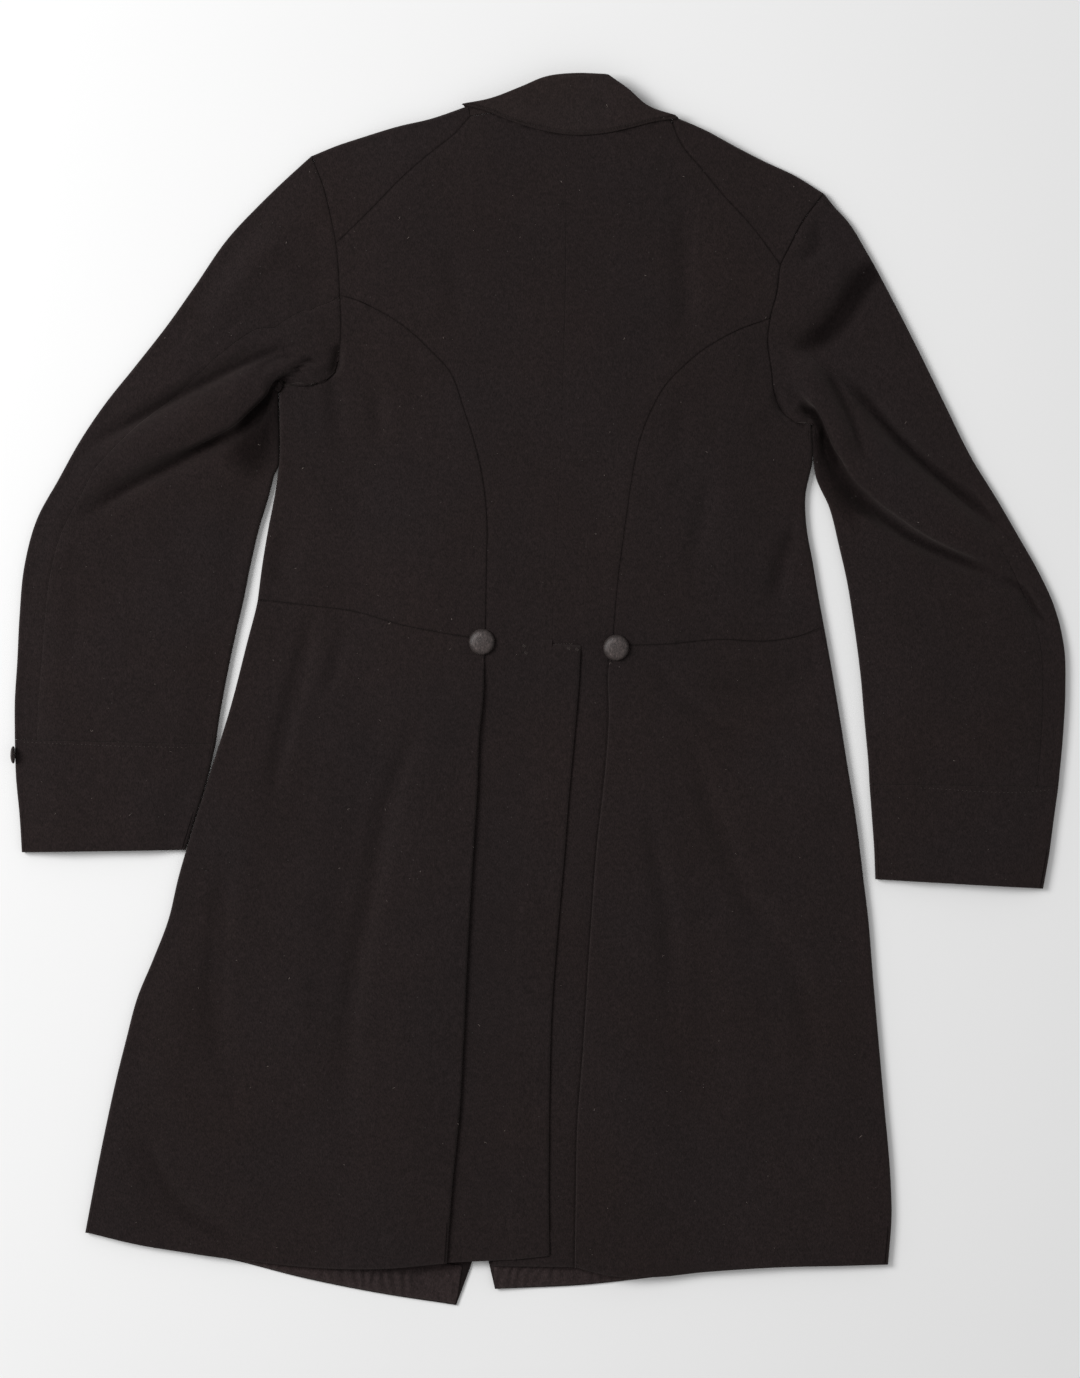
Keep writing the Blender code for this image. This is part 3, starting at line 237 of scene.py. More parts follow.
# Large folds, as in the solids: half width, height, then the points of the line
FOLDS = {
    "left_blade": (16, -2.0, (-72, 372), (-70, 305)),
    "left_underarm": (14, -2.2, (-176, 268), (-170, 215)),
    "left_side_body": (14, -1.8, (-139, 256), (-134, 214)),
    "left_waist_slant": (16, -1.6, (-190, 176), (-98, 126)),
    "left_side_nick_high": (9, -2.2, (-230, 122), (-200, 120)),
    "left_side_nick_low": (9, -2.2, (-233, 104), (-206, 86)),
    "right_blade": (17, -2.6, (123, 412), (125, 296)),
    "right_side_body": (14, -2.0, (121, 240), (118, 190)),
    "right_waist_slant": (15, -1.8, (147, 182), (128, 98)),
    "right_side_nick": (11, -2.6, (221, 142), (204, 101), (199, 70)),
    "left_hip_fold": (14, -3.0, (-193, 62), (-206, 5), (-219, -42), (-227, -100)),
    "left_hip_short": (12, -2.0, (-166, 46), (-181, -5)),
    "left_long_fold": (18, -3.0, (-97, -20), (-128, -97), (-145, -184), (-160, -261), (-166, -366)),
    "left_outer_fold": (18, -3.0, (-266, -140), (-274, -226), (-274, -299), (-259, -358)),
    "left_hem_curve": (16, -2.4, (-343, -386), (-322, -424), (-283, -455), (-233, -473)),
    "left_skirt_swell": (30, 2.2, (-162, -20), (-196, -180), (-214, -350)),
    "left_edge_swell": (26, 2.0, (-300, -215), (-318, -330)),
    "right_hip_fold": (18, -2.6, (147, 4), (186, -4), (215, -3), (230, 17)),
    "right_hip_swell": (15, 2.4, (160, 26), (205, 21)),
    "right_slant_fold": (15, -3.0, (86, 28), (142, -24), (207, -63), (226, -90)),
    "right_long_fold": (18, -3.0, (125, -28), (147, -101), (181, -184), (215, -235), (232, -321),
                        (215, -374)),
    "right_inner_fold": (16, -2.4, (90, -95), (108, -192), (114, -280)),
    "right_hem_hollow": (20, -2.0, (186, -450), (267, -450)),
    "right_skirt_swell": (28, 2.2, (150, -170), (172, -300), (165, -420)),
    "left_arm_roll": (27, 8.0, (-196, 298), (-240, 261), (-300, 223), (-350, 196), (-374, 182)),
    "left_arm_crease": (14, -4.0, (-214, 262), (-240, 232), (-296, 196), (-334, 180), (-397, 143)),
    "left_arm_upper": (22, 2.5, (-215, 395), (-290, 300)),
    "right_arm_hollow": (18, -2.6, (278, 360), (254, 325), (228, 300), (212, 288)),
    "right_arm_roll": (17, 8.0, (209, 277), (230, 264), (247, 240), (260, 210), (271, 184)),
    "right_arm_crease": (14, -4.0, (258, 263), (288, 227), (323, 200), (352, 174), (405, 130)),
    "right_arm_swell": (22, 5.0, (268, 218), (310, 170), (352, 138), (392, 110)),
    "right_elbow_crease": (14, -4.0, (246, 192), (272, 162), (306, 139), (340, 116), (400, 90),
                           (436, 52)),
}
# Sharper creases on top of them: half width, height, then the points of the line
CREASES = {
    "left_void": (8, -9.0, (-208, 270), (-219, 261), (-231, 247), (-247, 231), (-263, 214)),
    "left_void_tail": (8, -5.0, (-252, 224), (-285, 208), (-312, 193), (-352, 172), (-400, 140)),
    "left_body_shade": (5, -5.0, (-224, 250), (-227, 225), (-230, 196)),
    "left_curl": (6, 3.0, (-204, 274), (-197, 272), (-188, 267)),
    "left_curl_hollow": (4.5, -4.0, (-209, 269.5), (-202, 276.4), (-196, 280.5), (-188, 277)),
    "left_arm_pit": (6, -5.0, (-172, 292), (-173, 275), (-181, 265)),
    "left_roll_valley": (8, -5.0, (-193, 297), (-222, 290), (-262, 273), (-308, 250), (-344, 230),
                         (-390, 204)),
    "left_roll_lip": (5, -2.5, (-200, 284), (-222, 282), (-244, 268)),
    "left_cap_dip": (16, -1.4, (-184, 360), (-204, 330)),
    "left_sleeve_line": (9, -1.2, (-393, 90), (-399, 9)),
    "left_elbow_dip": (18, -1.8, (-330, 150), (-300, 100), (-292, 40)),
    "left_nick_high": (5, -1.8, (-231, 121), (-205, 121)),
    "left_nick_low": (5, -2.0, (-232, 105), (-209, 88)),
    "left_lower_nick": (5, -1.2, (-230, 110), (-214, 108)),
    "left_side_long": (10, -1.4, (-173, 262), (-172, 225), (-166, 196)),
    "left_side_short": (9, -1.4, (-139, 250), (-134, 205)),
    "left_hip_line": (7, -1.8, *FOLDS["left_hip_fold"][2:]),
    "left_hip_line_two": (7, -1.2, *FOLDS["left_hip_short"][2:]),
    "left_long_line": (9, -1.6, *FOLDS["left_long_fold"][2:]),
    "left_outer_line": (10, -1.4, *FOLDS["left_outer_fold"][2:-1]),
    "left_hem_line": (15, -2.2, (-338, -366), (-332, -402), (-320, -427), (-300, -448), (-272, -464),
                      (-240, -473)),
    "left_front_line": (7, -1.0, (-110, -216), (-63, -201)),
    "left_back_line": (10, -1.0, (-84, 374), (-60, 310)),
    "right_void": (8, -9.0, (219, 243), (234, 234), (246, 206), (260, 178)),
    "right_void_tail": (8, -5.0, (250, 190), (268, 168), (290, 148), (318, 128), (348, 115), (402, 92)),
    "right_elbow_tail": (6, -3.5, (390, 97), (412, 84), (425, 64), (438, 51)),
    "right_body_shade": (5, -5.0, (236, 222), (238, 206), (241, 190)),
    "right_curl": (6, 2.6, (214, 240), (222, 236), (228, 229)),
    "right_arm_pit": (5, -3.0, (200, 256), (205, 240), (214, 229)),
    "right_hollow": (13, -4.4, (284, 366), (262, 332), (240, 302), (210, 287)),
    "right_hollow_end": (6, -2.5, (250, 304), (232, 293), (214, 288)),
    "right_cap_dip": (9, -3.0, (232, 398), (237, 376), (219, 364)),
    "right_roll_valley": (7, -3.6, (240, 277), (252, 256), (266, 226), (274, 199), (287, 188)),
    "right_upper_crease": (9, -5.5, (250, 273), (279, 245), (301, 218), (323, 196), (350, 174),
                           (379, 151), (407, 125)),
    "right_wrist_dip": (16, -1.6, (352, 40), (366, -30)),
    "right_side_line": (12, -2.4, (221, 142), (206, 106), (200, 66)),
    "right_waist_line": (8, -1.4, (147, 178), (138, 140), (130, 102)),
    "right_blade_line": (12, -1.8, (123, 412), (125, 330), (124, 280)),
    "right_hip_line": (13, -1.5, (140, 8), (168, -2), (196, -7), (216, -2), (232, 14), (238, 34)),
    "right_slant_line": (9, -1.8, *FOLDS["right_slant_fold"][2:]),
    "right_long_line": (10, -1.6, *FOLDS["right_long_fold"][2:-1]),
    "right_inner_line": (9, -1.4, *FOLDS["right_inner_fold"][2:]),
    "right_low_line": (5, -0.9, (69, -399), (72, -484)),
    "tail_soft": (9, -0.9, (-38, 12), (-40, -30), (-40, -80)),
}
# Places of the sleeves that get painted shade, where little light reaches: half width, depth of tone,
# highest cloth, the line
SHADES = {
    "left_void": (32, 0.66, 13.0, (-222, 262), (-232, 234), (-244, 205), (-262, 178)),
    "left_curl": (4, 0.6, 30.0, (-216, 263), (-209, 269.5), (-202, 276.4), (-196, 280.5), (-190, 278)),
    "right_void": (24, 0.66, 10.5, (232, 228), (242, 206), (254, 180), (272, 152), (292, 126)),
    "right_arm_hollow": (17, 0.82, 30.0, (288, 366), (270, 339), (252, 312), (236, 298), (212, 287)),
    "left_arm_pit": (7, 0.5, 30.0, (-172, 296), (-173, 280), (-180, 268)),
}
# Turned hems and finished edges are thicker over this width
HEM_WIDTH = 30.0


class CoatLook(bpy.types.PropertyGroup):
    """Sizes and colours of the coat that a user would change."""

    cloth: FloatProperty(
        name="Cloth thickness", description="Thickness of the wool as it shows at edges",
        default=0.0017, min=0.001, max=0.003, subtype="DISTANCE", unit="LENGTH")
    crease: FloatProperty(
        name="Crease depth", description="Depth of the sharp creases, 1 as laid", default=1.0,
        min=0.0, max=2.0, subtype="FACTOR")
    unevenness: FloatProperty(
        name="Unevenness", description="Height of the cloth's small waves, 1 as laid", default=1.0,
        min=0.0, max=3.0, subtype="FACTOR")
    seam: FloatProperty(
        name="Seam depth", description="How far a seam sinks into the cloth",
        default=0.00035, min=0.0, max=0.002, subtype="DISTANCE", unit="LENGTH")
    # Painted shade: the thin dark line along seams, beside the collar's edge and beside the right
    # pleat's edge
    seam_painted_shade: FloatProperty(
        name="Seam tone", description="How dark the line along a seam is", default=0.5, min=0.0, max=1.0)
    wool: FloatVectorProperty(
        name="Wool colour", description="Colour of the panels", size=3, subtype="COLOR",
        default=(0.0127, 0.0088, 0.0088), min=0.0, max=1.0)
    collar_wool: FloatVectorProperty(
        name="Collar colour", description="Colour of the collar", size=3, subtype="COLOR",
        default=(0.0150, 0.0103, 0.0099), min=0.0, max=1.0)
    button: FloatVectorProperty(
        name="Button colour", description="Colour of the covered buttons", size=3, subtype="COLOR",
        default=(0.047, 0.036, 0.034), min=0.0, max=1.0)
    thread: FloatVectorProperty(
        name="Thread colour", description="Colour of the stitches that show", size=3, subtype="COLOR",
        default=(0.064, 0.053, 0.048), min=0.0, max=1.0)
    lint: IntProperty(
        name="Lint", description="Number of small fibres and specks on the cloth", default=150, min=0,
        max=600)
    button_radius: FloatProperty(
        name="Button radius", description="Radius of the back and front buttons", default=0.011,
        min=0.008, max=0.014, subtype="DISTANCE", unit="LENGTH")
    fuzz: FloatProperty(
        name="Fuzz", description="Strength of the nap's pale edge, 1 as laid", default=1.0, min=0.0,
        max=3.0)
    # Factor on the colour, gleam and sheen where the painted shade is full
    painted_shade_tone: FloatProperty(
        name="Hollow tone", description="Tone of the cloth inside the deepest creases", default=0.42,
        min=0.0, max=1.0)
    # Painted light: the front's turned hem is the panels' wool made this many times lighter, to look lit
    hem_painted_light: FloatProperty(
        name="Hem tone", description="How much lighter the turned hem of the fronts is", default=1.95,
        min=0.5, max=4.0)


def look():
    return bpy.context.scene.coat_look


# Curves in the plan

def smooth(value):
    """Ease from 0 to 1."""
    t = np.clip(value, 0.0, 1.0)
    return t * t * (3.0 - 2.0 * t)


def fading(value, start, width):
    """Ease from 1 at the start down to 0 past the width."""
    return 1.0 - smooth((value - start) / width)


def bell(distance, width):
    """Weight that falls from 1 on a line to nothing beside it."""
    return np.exp(-(distance / width) ** 2)


def table(rows):
    return np.array(rows, dtype=float)


def unit(ways):
    """Ways in the plan brought to length 1."""
    return ways / np.hypot(*ways.T)[..., None]


def sideways(line):
    """Ways of length 1 across a line at each of its points."""
    along = unit(np.gradient(line, axis=0))
    return np.column_stack([along[:, 1], -along[:, 0]])


def lengths(line):
    return np.maximum(np.hypot(*np.diff(line, axis=0).T), 1e-6)


def run_along(line):
    """Length run from a line's start to each of its points."""
    return np.append(0.0, np.cumsum(lengths(line)))


def curve(line, at):
    """Smooth curve through a line's points, read off at counts of them; corners stay sharp."""
    p = table(line)
    size = lengths(p)
    way = np.diff(p, axis=0) / size[:, None]
    before, after = np.vstack([way[:1], way]), np.vstack([way, way[-1:]])
    near, far = np.append(size[:1], size)[:, None], np.append(size, size[-1:])[:, None]
    mixed = (far * before + near * after) / (near + far)
    corner = ((before * after).sum(axis=1) < 0.85)[:, None]
    leave, arrive = np.where(corner, after, mixed), np.where(corner, before, mixed)
    cell = np.clip(np.floor(at).astype(int), 0, len(size) - 1)
    t = (np.asarray(at) - cell)[:, None]
    d = size[cell][:, None]
    return ((1 + 2 * t) * (1 - t) ** 2 * p[cell] + t * (1 - t) ** 2 * d * leave[cell]
            + t * t * (3 - 2 * t) * p[cell + 1] - t * t * (1 - t) * d * arrive[cell + 1])


def read_off(rows, places, at):
    """Plan points between rows that stand at the given places."""
    return np.column_stack([np.interp(at, places, rows[:, k]) for k in (0, 1)])


def even(line, count):
    """Evenly spaced points along a smooth curve."""
    fine = curve(line, np.linspace(0, len(line) - 1, 20 * len(line)))
    run = run_along(fine)
    return read_off(fine, run, np.linspace(0.0, run[-1], count))


def both(rows, count):
    """The left and the right one of a pair of lines."""
    return [even(rows[side], count) for side in SIGN]


EDGE_STEPS = np.array([0.0, 0.035, 0.09, 0.2, 0.38, 0.58, 0.79])


def graded(count, each, fine_last=True):
    """Places along count cells, closer together in the first cell and the last one."""
    at = [np.linspace(k, k + 1, each, endpoint=False) for k in range(count)]
    at[0] = EDGE_STEPS
    if fine_last:
        at[-1] = np.append(count - 1, count - EDGE_STEPS[:0:-1])
    return np.append(np.concatenate(at), count)


def fine_end(values):
    """The same row of values with extra ones close to its last."""
    return np.append(values[:-1], values[-1] - (values[-1] - values[-2]) * EDGE_STEPS[::-1])


def spread(a, b, share):
    a, b = table(a), table(b)
    return a + (b - a) * np.asarray(share)[:, None]


def x_at(points, ys):
    """Where a falling curve lies across the coat at the given heights in the plan."""
    line = even(points, 240)[::-1]
    return np.interp(ys, line[:, 1], line[:, 0])


def at_heights(points, ys):
    return np.column_stack([x_at(points, ys), ys])


def nearest(line, x, y, reach):
    """Distance in the plan to a line, up to reach, and the share of the way along it."""
    far, along = np.full(np.shape(x), float(reach)), np.zeros(np.shape(x))
    low, high = line.min(axis=0) - reach, line.max(axis=0) + reach
    inside = (x > low[0]) & (x < high[0]) & (y > low[1]) & (y < high[1])
    px, py = x[inside], y[inside]
    best, share = np.full(px.shape, float(reach)), np.zeros(px.shape)
    for k, (a, b) in enumerate(zip(line[:-1], line[1:])):
        ab = b - a
        t = np.clip(((px - a[0]) * ab[0] + (py - a[1]) * ab[1]) / max(ab @ ab, 1e-9), 0.0, 1.0)
        d = np.hypot(px - a[0] - t * ab[0], py - a[1] - t * ab[1])
        share = np.where(d < best, (k + t) / (len(line) - 1), share)
        best = np.minimum(best, d)
    far[inside], along[inside] = best, share
    return far, along


def distance(lines, x, y, reach):
    """Distance in the plan to the nearest of some lines, up to reach."""
    return np.minimum.reduce([nearest(line, x, y, reach)[0] for line in lines])


def beside(line, x, y, reach):
    """Weight from 1 on a line to 0 at reach, and the share of the way along it."""
    d, share = nearest(line, x, y, reach)
    return smooth(1.0 - d / reach), share


def patch(left, right, share=None, top=None, bottom=None):
    """Plan grid from a left line to a right one; a first or last row that isn't given is straight."""
    top = spread(left[0], right[0], share) if top is None else top
    bottom = spread(left[-1], right[-1], share) if bottom is None else bottom
    v, u = ((run_along(a) / run_along(a)[-1] + run_along(b) / run_along(b)[-1]) / 2
            for a, b in ((left, right), (top, bottom)))
    v, u = v[:, None, None], u[None, :, None]
    corners = ((1 - u) * (1 - v) * left[0] + u * (1 - v) * right[0]
               + (1 - u) * v * left[-1] + u * v * right[-1])
    return ((1 - u) * left[:, None] + u * right[:, None]
            + (1 - v) * top[None] + v * bottom[None] - corners)


# Heights

RIPPLE_FIELD = 1600.0


def ripple(x, y, size, seed):
    """Smooth uneven field from -1 to 1 with waves of about the given size."""
    cells = np.random.default_rng(seed).uniform(-1, 1, (int(RIPPLE_FIELD / size) + 4,) * 2)
    u, v = (x + RIPPLE_FIELD / 2) / size, (y + RIPPLE_FIELD / 2) / size
    i, j = np.floor(u).astype(int), np.floor(v).astype(int)
    s, t = smooth(u - i), smooth(v - j)
    return ((cells[i, j] * (1 - s) + cells[i + 1, j] * s) * (1 - t)
            + (cells[i, j + 1] * (1 - s) + cells[i + 1, j + 1] * s) * t)


# The cloth's small waves: height, stretch along the coat, slant, size and seed of the field
WAVES = ((1.15, 2.2, 0.0, 62, 1), (0.55, 1.5, 0.4, 27, 2), (0.20, 1.0, 0.0, 12, 3),
         (0.08, 1.0, 0.0, 5.5, 4))
FOLD_LINES = {name: even(row[2:], 16) for name, row in {**FOLDS, **CREASES}.items()}
SHADE_LINES = {name: even(row[3:], 12) for name, row in SHADES.items()}
NECK_SEAM = even([row[4:6] for row in COLLAR], 60)
ARMHOLE_LINES = both(ARMHOLE, 80)
# Lines given a thin line of painted shade: the seams, the back just below the collar's edge, a line
# inside the collar's edge and the tail beside the right pleat's edge
PAINTED_SHADE_LINES = (ARMHOLE_LINES + both(SHOULDER_SEAM, 80) + both(SIDE_BACK_SEAM, 80) + both(WAIST_SEAM, 80)
              + [even([(row[2], row[3] + rise) for row in COLLAR], 60) for rise in (-0.4, 2.4)]
              + [even([(x - 0.9, y) for x, y in PLEAT_EDGE["right"]], 80)])
BODY_EDGES = both(SHOULDER_EDGE, 60) + both(SIDE_EDGE, 60)
SLEEVE_EDGES = [even([row[k:k + 2] for row in SLEEVE[side] + CUFF[side][1:]], 60)
                for side in SIGN for k in (0, 2)]


def neck_y(x):
    return np.interp(x, NECK_SEAM[:, 0], NECK_SEAM[:, 1])


def ends(share):
    """Weight along a crease, which fades out towards both of its ends."""
    return 0.12 + 0.88 * smooth(share / 0.22) * smooth((1.0 - share) / 0.3)


def relief(x, y):
    """Height that folds, creases and small waves add to or take from the cloth."""
    total = np.zeros(np.shape(x))
    for name, (width, height, *_) in FOLDS.items():
        weight, share = beside(FOLD_LINES[name], x, y, width)
        full = 0.7 if height > 4.0 else 1.0
        total += height * (0.15 + 0.85 * ends(share)) * weight ** full
    for name, (width, height, *_) in CREASES.items():
        weight, share = beside(FOLD_LINES[name], x, y, 1.6 * width)
        total += look().crease * height * ends(share) * weight ** 1.5
    waves = sum(height * ripple(x + slant * y, y / stretch, size, seed)
                for height, stretch, slant, size, seed in WAVES)
    return total + look().unevenness * waves


# Creases deeper than this get painted shade in their colour, full at this depth in millimetres
DEEP_CREASE, FULL_HOLLOW = -2.0, 9.0
# Width of a line of painted shade
SHADE_LINE_WIDTH = 1.1


def painted_shade_field(x, y, z, on_sleeve):
    """Painted shade, 0 to 1, laid into the colour: in the deepest creases, in the sleeves' shade places
    and in thin lines along seams and edges.
    """
    deepest = np.zeros(np.shape(x))
    for name, (width, height, *_) in CREASES.items():
        if height < DEEP_CREASE:
            weight, share = beside(FOLD_LINES[name], x, y, 0.9 * width)
            deepest = np.maximum(deepest, -height / FULL_HOLLOW * ends(share) * weight)
    for name, (width, tone, highest_cloth, *_) in SHADES.items() if on_sleeve else ():
        d, share = nearest(SHADE_LINES[name], x, y, width)
        along = smooth((share + 0.05) / 0.2) * smooth((1.05 - share) / 0.35)
        across = smooth(1.15 - 1.15 * d / width)
        deepest = np.maximum(deepest, tone * along * across * smooth((highest_cloth - z) / 3.0))
    # Thin lines of painted shade along seams and edges
    for line in PAINTED_SHADE_LINES:
        seam = bell(nearest(line, x, y, 4.0)[0], SHADE_LINE_WIDTH)
        deepest = np.maximum(deepest, look().seam_painted_shade * seam - 0.02)
    return deepest


def edge_ease(edges, x, y, width):
    return smooth((distance(edges, x, y, TURN + width) - TURN) / width)


def folds(edges, x, y):
    return relief(x, y) * edge_ease(edges, x, y, FOLD_EASE)


def lift(x, y):
    """Rise of both fronts over the lapels and front buttons that lie under them."""
    return FRONT_LIFT * smooth((LIFT_REACH - abs(x - LIFT_X)) / 50.0) * smooth((y - LIFT_LOW_Y) / 100.0)


def body_base(x, y):
    centre = smooth((CENTRE_REACH - abs(x - CENTRE_X)) / 90.0)
    ease = edge_ease(BODY_EDGES, x, y, BODY_EASE)
    return EDGE_HEIGHT + (BODY_HEIGHT - EDGE_HEIGHT) * ease + CENTRE_RISE * centre * ease


def body_top(x, y):
    return lift(x, y) + body_base(x, y) + folds(BODY_EDGES, x, y)


def below_waist(y):
    return smooth((WAIST_Y - y) / (WAIST_Y - PLEAT_START_Y))


# The right back drops under the vent's flap from here down, softer away from the centre seam
FLAP_Y, FLAP_STEP, FLAP_SOFT = 40.0, 3.0, 10.0


def back_top(side, x, y):
    """Top of a back panel; the right one drops under the vent's flap."""
    drop = below_waist(y)
    small = 0.3 * ripple(x, y / 2.0, 40, 6) + 0.12 * ripple(x, y, 11, 7)
    top = lift(x, y) + body_base(x, y) * (1 - drop) + (TAIL_HEIGHT + small) * drop
    top = top + folds(BODY_EDGES, x, y) * (1 - drop)
    if side == "left":
        return top
    away = FLAP_SOFT * smooth((x - CENTRE_SEAM[-1][0]) / 12.0)
    return top - LAP * smooth((FLAP_Y + away - y) / (FLAP_STEP + away))


def skirt_top(side, x, y):
    """Top of a skirt, raised where it lies over the pleat's underlay and the tail."""
    away = abs(x - x_at(PLEAT_EDGE[side], y))
    stack = TAIL_HEIGHT + PLEAT_STACK - (LAP if side == "right" else 0.0)
    low = BODY_HEIGHT + (EDGE_HEIGHT - BODY_HEIGHT) * (1 - edge_ease(BODY_EDGES, x, y, BODY_EASE))
    drop = below_waist(y)
    folded = folds(BODY_EDGES, x, y) * (1 - drop * fading(away, 18.0, 35.0))
    level = low + (stack - low) * fading(away, *PLEAT_EASE)
    return lift(x, y) + body_base(x, y) * (1 - drop) + level * drop + folded


def front_bottom(side, x, y):
    """Underside of a front; the right one lies on the inside of the left one."""
    base = lift(x, y)
    if side == "right":
        line = table((ROLL_LINE["left"] + FRONT_EDGE["left"])[::-1])
        edge = np.interp(y, line[:, 1], line[:, 0])
        base = base + FRONT_LAP * fading(x - edge, 6.0, 70.0)
    return base


def sleeve_top(x, y):
    """Top of a sleeve, level with the body at the armhole."""
    head = distance(ARMHOLE_LINES, x, y, ARMHOLE_EASE)
    height = BODY_HEIGHT + (SLEEVE_HEIGHT - BODY_HEIGHT) * smooth(head / ARMHOLE_EASE)
    rise = (height - EDGE_HEIGHT) * edge_ease(SLEEVE_EDGES, x, y, SLEEVE_EASE)
    top = np.maximum(EDGE_HEIGHT + rise + folds(SLEEVE_EDGES, x, y), LOWEST_SLEEVE)
    return top + (body_top(x, y) - top) * fading(head, 1.0, 7.0)


def floor_height(x, y):
    """Underside of a sleeve, which rises a little to its seam with the body."""
    return ARMHOLE_RISE * fading(distance(ARMHOLE_LINES, x, y, 15.0), 8.0, 6.0)


# Cloth pieces

# Widths of a seam's sunk line, of the soft slope beside it and of a faint seam, and of a round edge
SEAM_SINK, SEAM_SLOPE, FAINT_SINK, EDGE_ROUND = 1.3, 4.5, 2.5, 1.1
# Shares of the slope and of a faint seam, drop of an edge, rise of pressed seam turnings and hems
SLOPE_SHARE, FAINT_SHARE, EDGE_DROP, TURNING_RISE, HEM_RISE = 0.35, 0.2, 0.9, 0.15, 0.5


def lifted(grid, top, under=None, share=None, seams=(), edges=(), hems=(), faint=()):
    """Give a plan grid its heights; it sinks at seams, rounds at edges and is thicker at hems."""
    x, y = grid[..., 0], grid[..., 1]
    z = top(x, y)
    if share is not None:
        lower = under(x, y)
        z = (z + lower) / 2 + (z - lower) / 2 * share
    sunk = look().seam / MM
    for line in seams:
        d = nearest(line, x, y, 16.0)[0]
        z = z - sunk * (bell(d, SEAM_SINK) + SLOPE_SHARE * bell(d, SEAM_SLOPE))
        z = z + TURNING_RISE * fading(d, 8.0, 5.0)
    for line in faint:
        z = z - FAINT_SHARE * sunk * bell(nearest(line, x, y, 8.0)[0], FAINT_SINK)
    for line in edges:
        z = z - EDGE_DROP * bell(nearest(line, x, y, 6.0)[0], EDGE_ROUND)
    for line in hems:
        z = z + HEM_RISE * fading(nearest(line, x, y, HEM_WIDTH + 6)[0], HEM_WIDTH, 5.0)
    return np.concatenate([grid, z[..., None]], axis=2)


def turned(start, inward, radius):
    """Plan grid and height shares of cloth that turns from a line round an edge to the underside."""
    angle = np.linspace(math.pi / 2, -math.pi / 2, 9)
    reach = np.broadcast_to(radius, len(start))[:, None] * np.cos(angle)
    grid = start[:, None] - np.broadcast_to(inward, start.shape)[:, None] * reach[..., None]
    return grid, np.broadcast_to(np.sin(angle), grid.shape[:2])


def pulled_in(grid, border, amount=SEAM_GAP / 2):
    """Move one border line of a plan grid inwards by half a seam's gap."""
    columns = grid.transpose(1, 0, 2)
    view = {"top": grid, "bottom": grid[::-1], "left": columns, "right": columns[::-1]}[border]
    way = view[1] - view[0]
    view[0] += way * (amount / np.maximum(np.hypot(*way.T), 1e-6))[:, None]
    return view[0]


def to_frame(points):
    """Plan points in millimetres to places in the frame in metres."""
    return (np.asarray(points) + (PLAN_X, PLAN_Y, 0.0)) * MM


def add_grid(sheet, points):
    """Points in rows and columns with faces between them; gives both."""
    rows, cols = points.shape[:2]
    verts = [[sheet.verts.new(place) for place in row] for row in points]
    return verts, [sheet.faces.new((verts[r][c], verts[r + 1][c], verts[r + 1][c + 1], verts[r][c + 1]))
                   for r in range(rows - 1) for c in range(cols - 1)]


def new_piece(name, sheet):
    """A smooth piece in the scene from what was modelled."""
    mesh = bpy.data.meshes.new(name)
    sheet.to_mesh(mesh)
    sheet.free()
    mesh.shade_smooth()
    piece = bpy.data.objects.new(name, mesh)
    bpy.context.scene.collection.objects.link(piece)
    return piece


def thicken(piece, thickness, offset):
    wall = piece.modifiers.new("cloth", "SOLIDIFY")
    wall.thickness, wall.offset = thickness, offset
    return wall


def finished(piece, node, material):
    """Hand a finished piece to the frame in the place of its solid."""
    piece.data.materials.append(material)
    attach(piece, "root")
    if node:
        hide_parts(node)
    return piece


# Points of two grids that lie closer than this are one
JOIN = 0.03


def cloth(node, grids, slot="wool", rests_on=("floor",), faces_up=True, with_pieces=()):
    """Join grids of outer points into one sheet with the cloth's thickness on its inner side."""
    sheet = bmesh.new()
    painted_shade = sheet.verts.layers.float.new("painted_shade")
    outside = sheet.faces.layers.int.new("outside")
    for grid in grids:
        # Painted shade for each point, none on cloth lower than a millimetre
        deep = painted_shade_field(*grid.transpose(2, 0, 1), node.startswith("sleeve")) * (grid[..., 2] > 1.0)
        verts, faces = add_grid(sheet, to_frame(grid))
        for r, c in zip(*np.nonzero(deep)):
            verts[r][c][painted_shade] = deep[r, c]
        for face in faces:
            face[outside] = int(grid is grids[0])
    bmesh.ops.remove_doubles(sheet, verts=sheet.verts, dist=JOIN * MM)
    bmesh.ops.recalc_face_normals(sheet, faces=sheet.faces)
    sheet.normal_update()
    if (sum(face.normal.z * face.calc_area() for face in sheet.faces if face[outside]) > 0) != faces_up:
        bmesh.ops.reverse_faces(sheet, faces=sheet.faces)
    piece = new_piece(node + "_cloth", sheet)
    thicken(piece, look().cloth, -1.0).use_quality_normals = True
    finished(piece, node, cloth_material(slot))


def side_rows(side):
    seam = SIDE_BACK_SEAM[side]
    return np.vstack([table(seam[1:7]), at_heights(seam[6:], np.linspace(seam[7][1], seam[-1][1], 7))])


def clearance(side):
    """Small step from each armhole station into the body, half the seam's gap."""
    return sideways(table(ARMHOLE[side])) * SIGN[side] * SEAM_GAP / 2


def armhole_top_way(side):
    a, b = table(ARMHOLE[side][:2])
    return unit(b - a)


def tail_heights(start, end):
    return np.concatenate([np.linspace(start, PLEAT_START_Y, PLEAT_ROWS),
                           fine_end(np.linspace(PLEAT_START_Y, end, 121))[1:]])


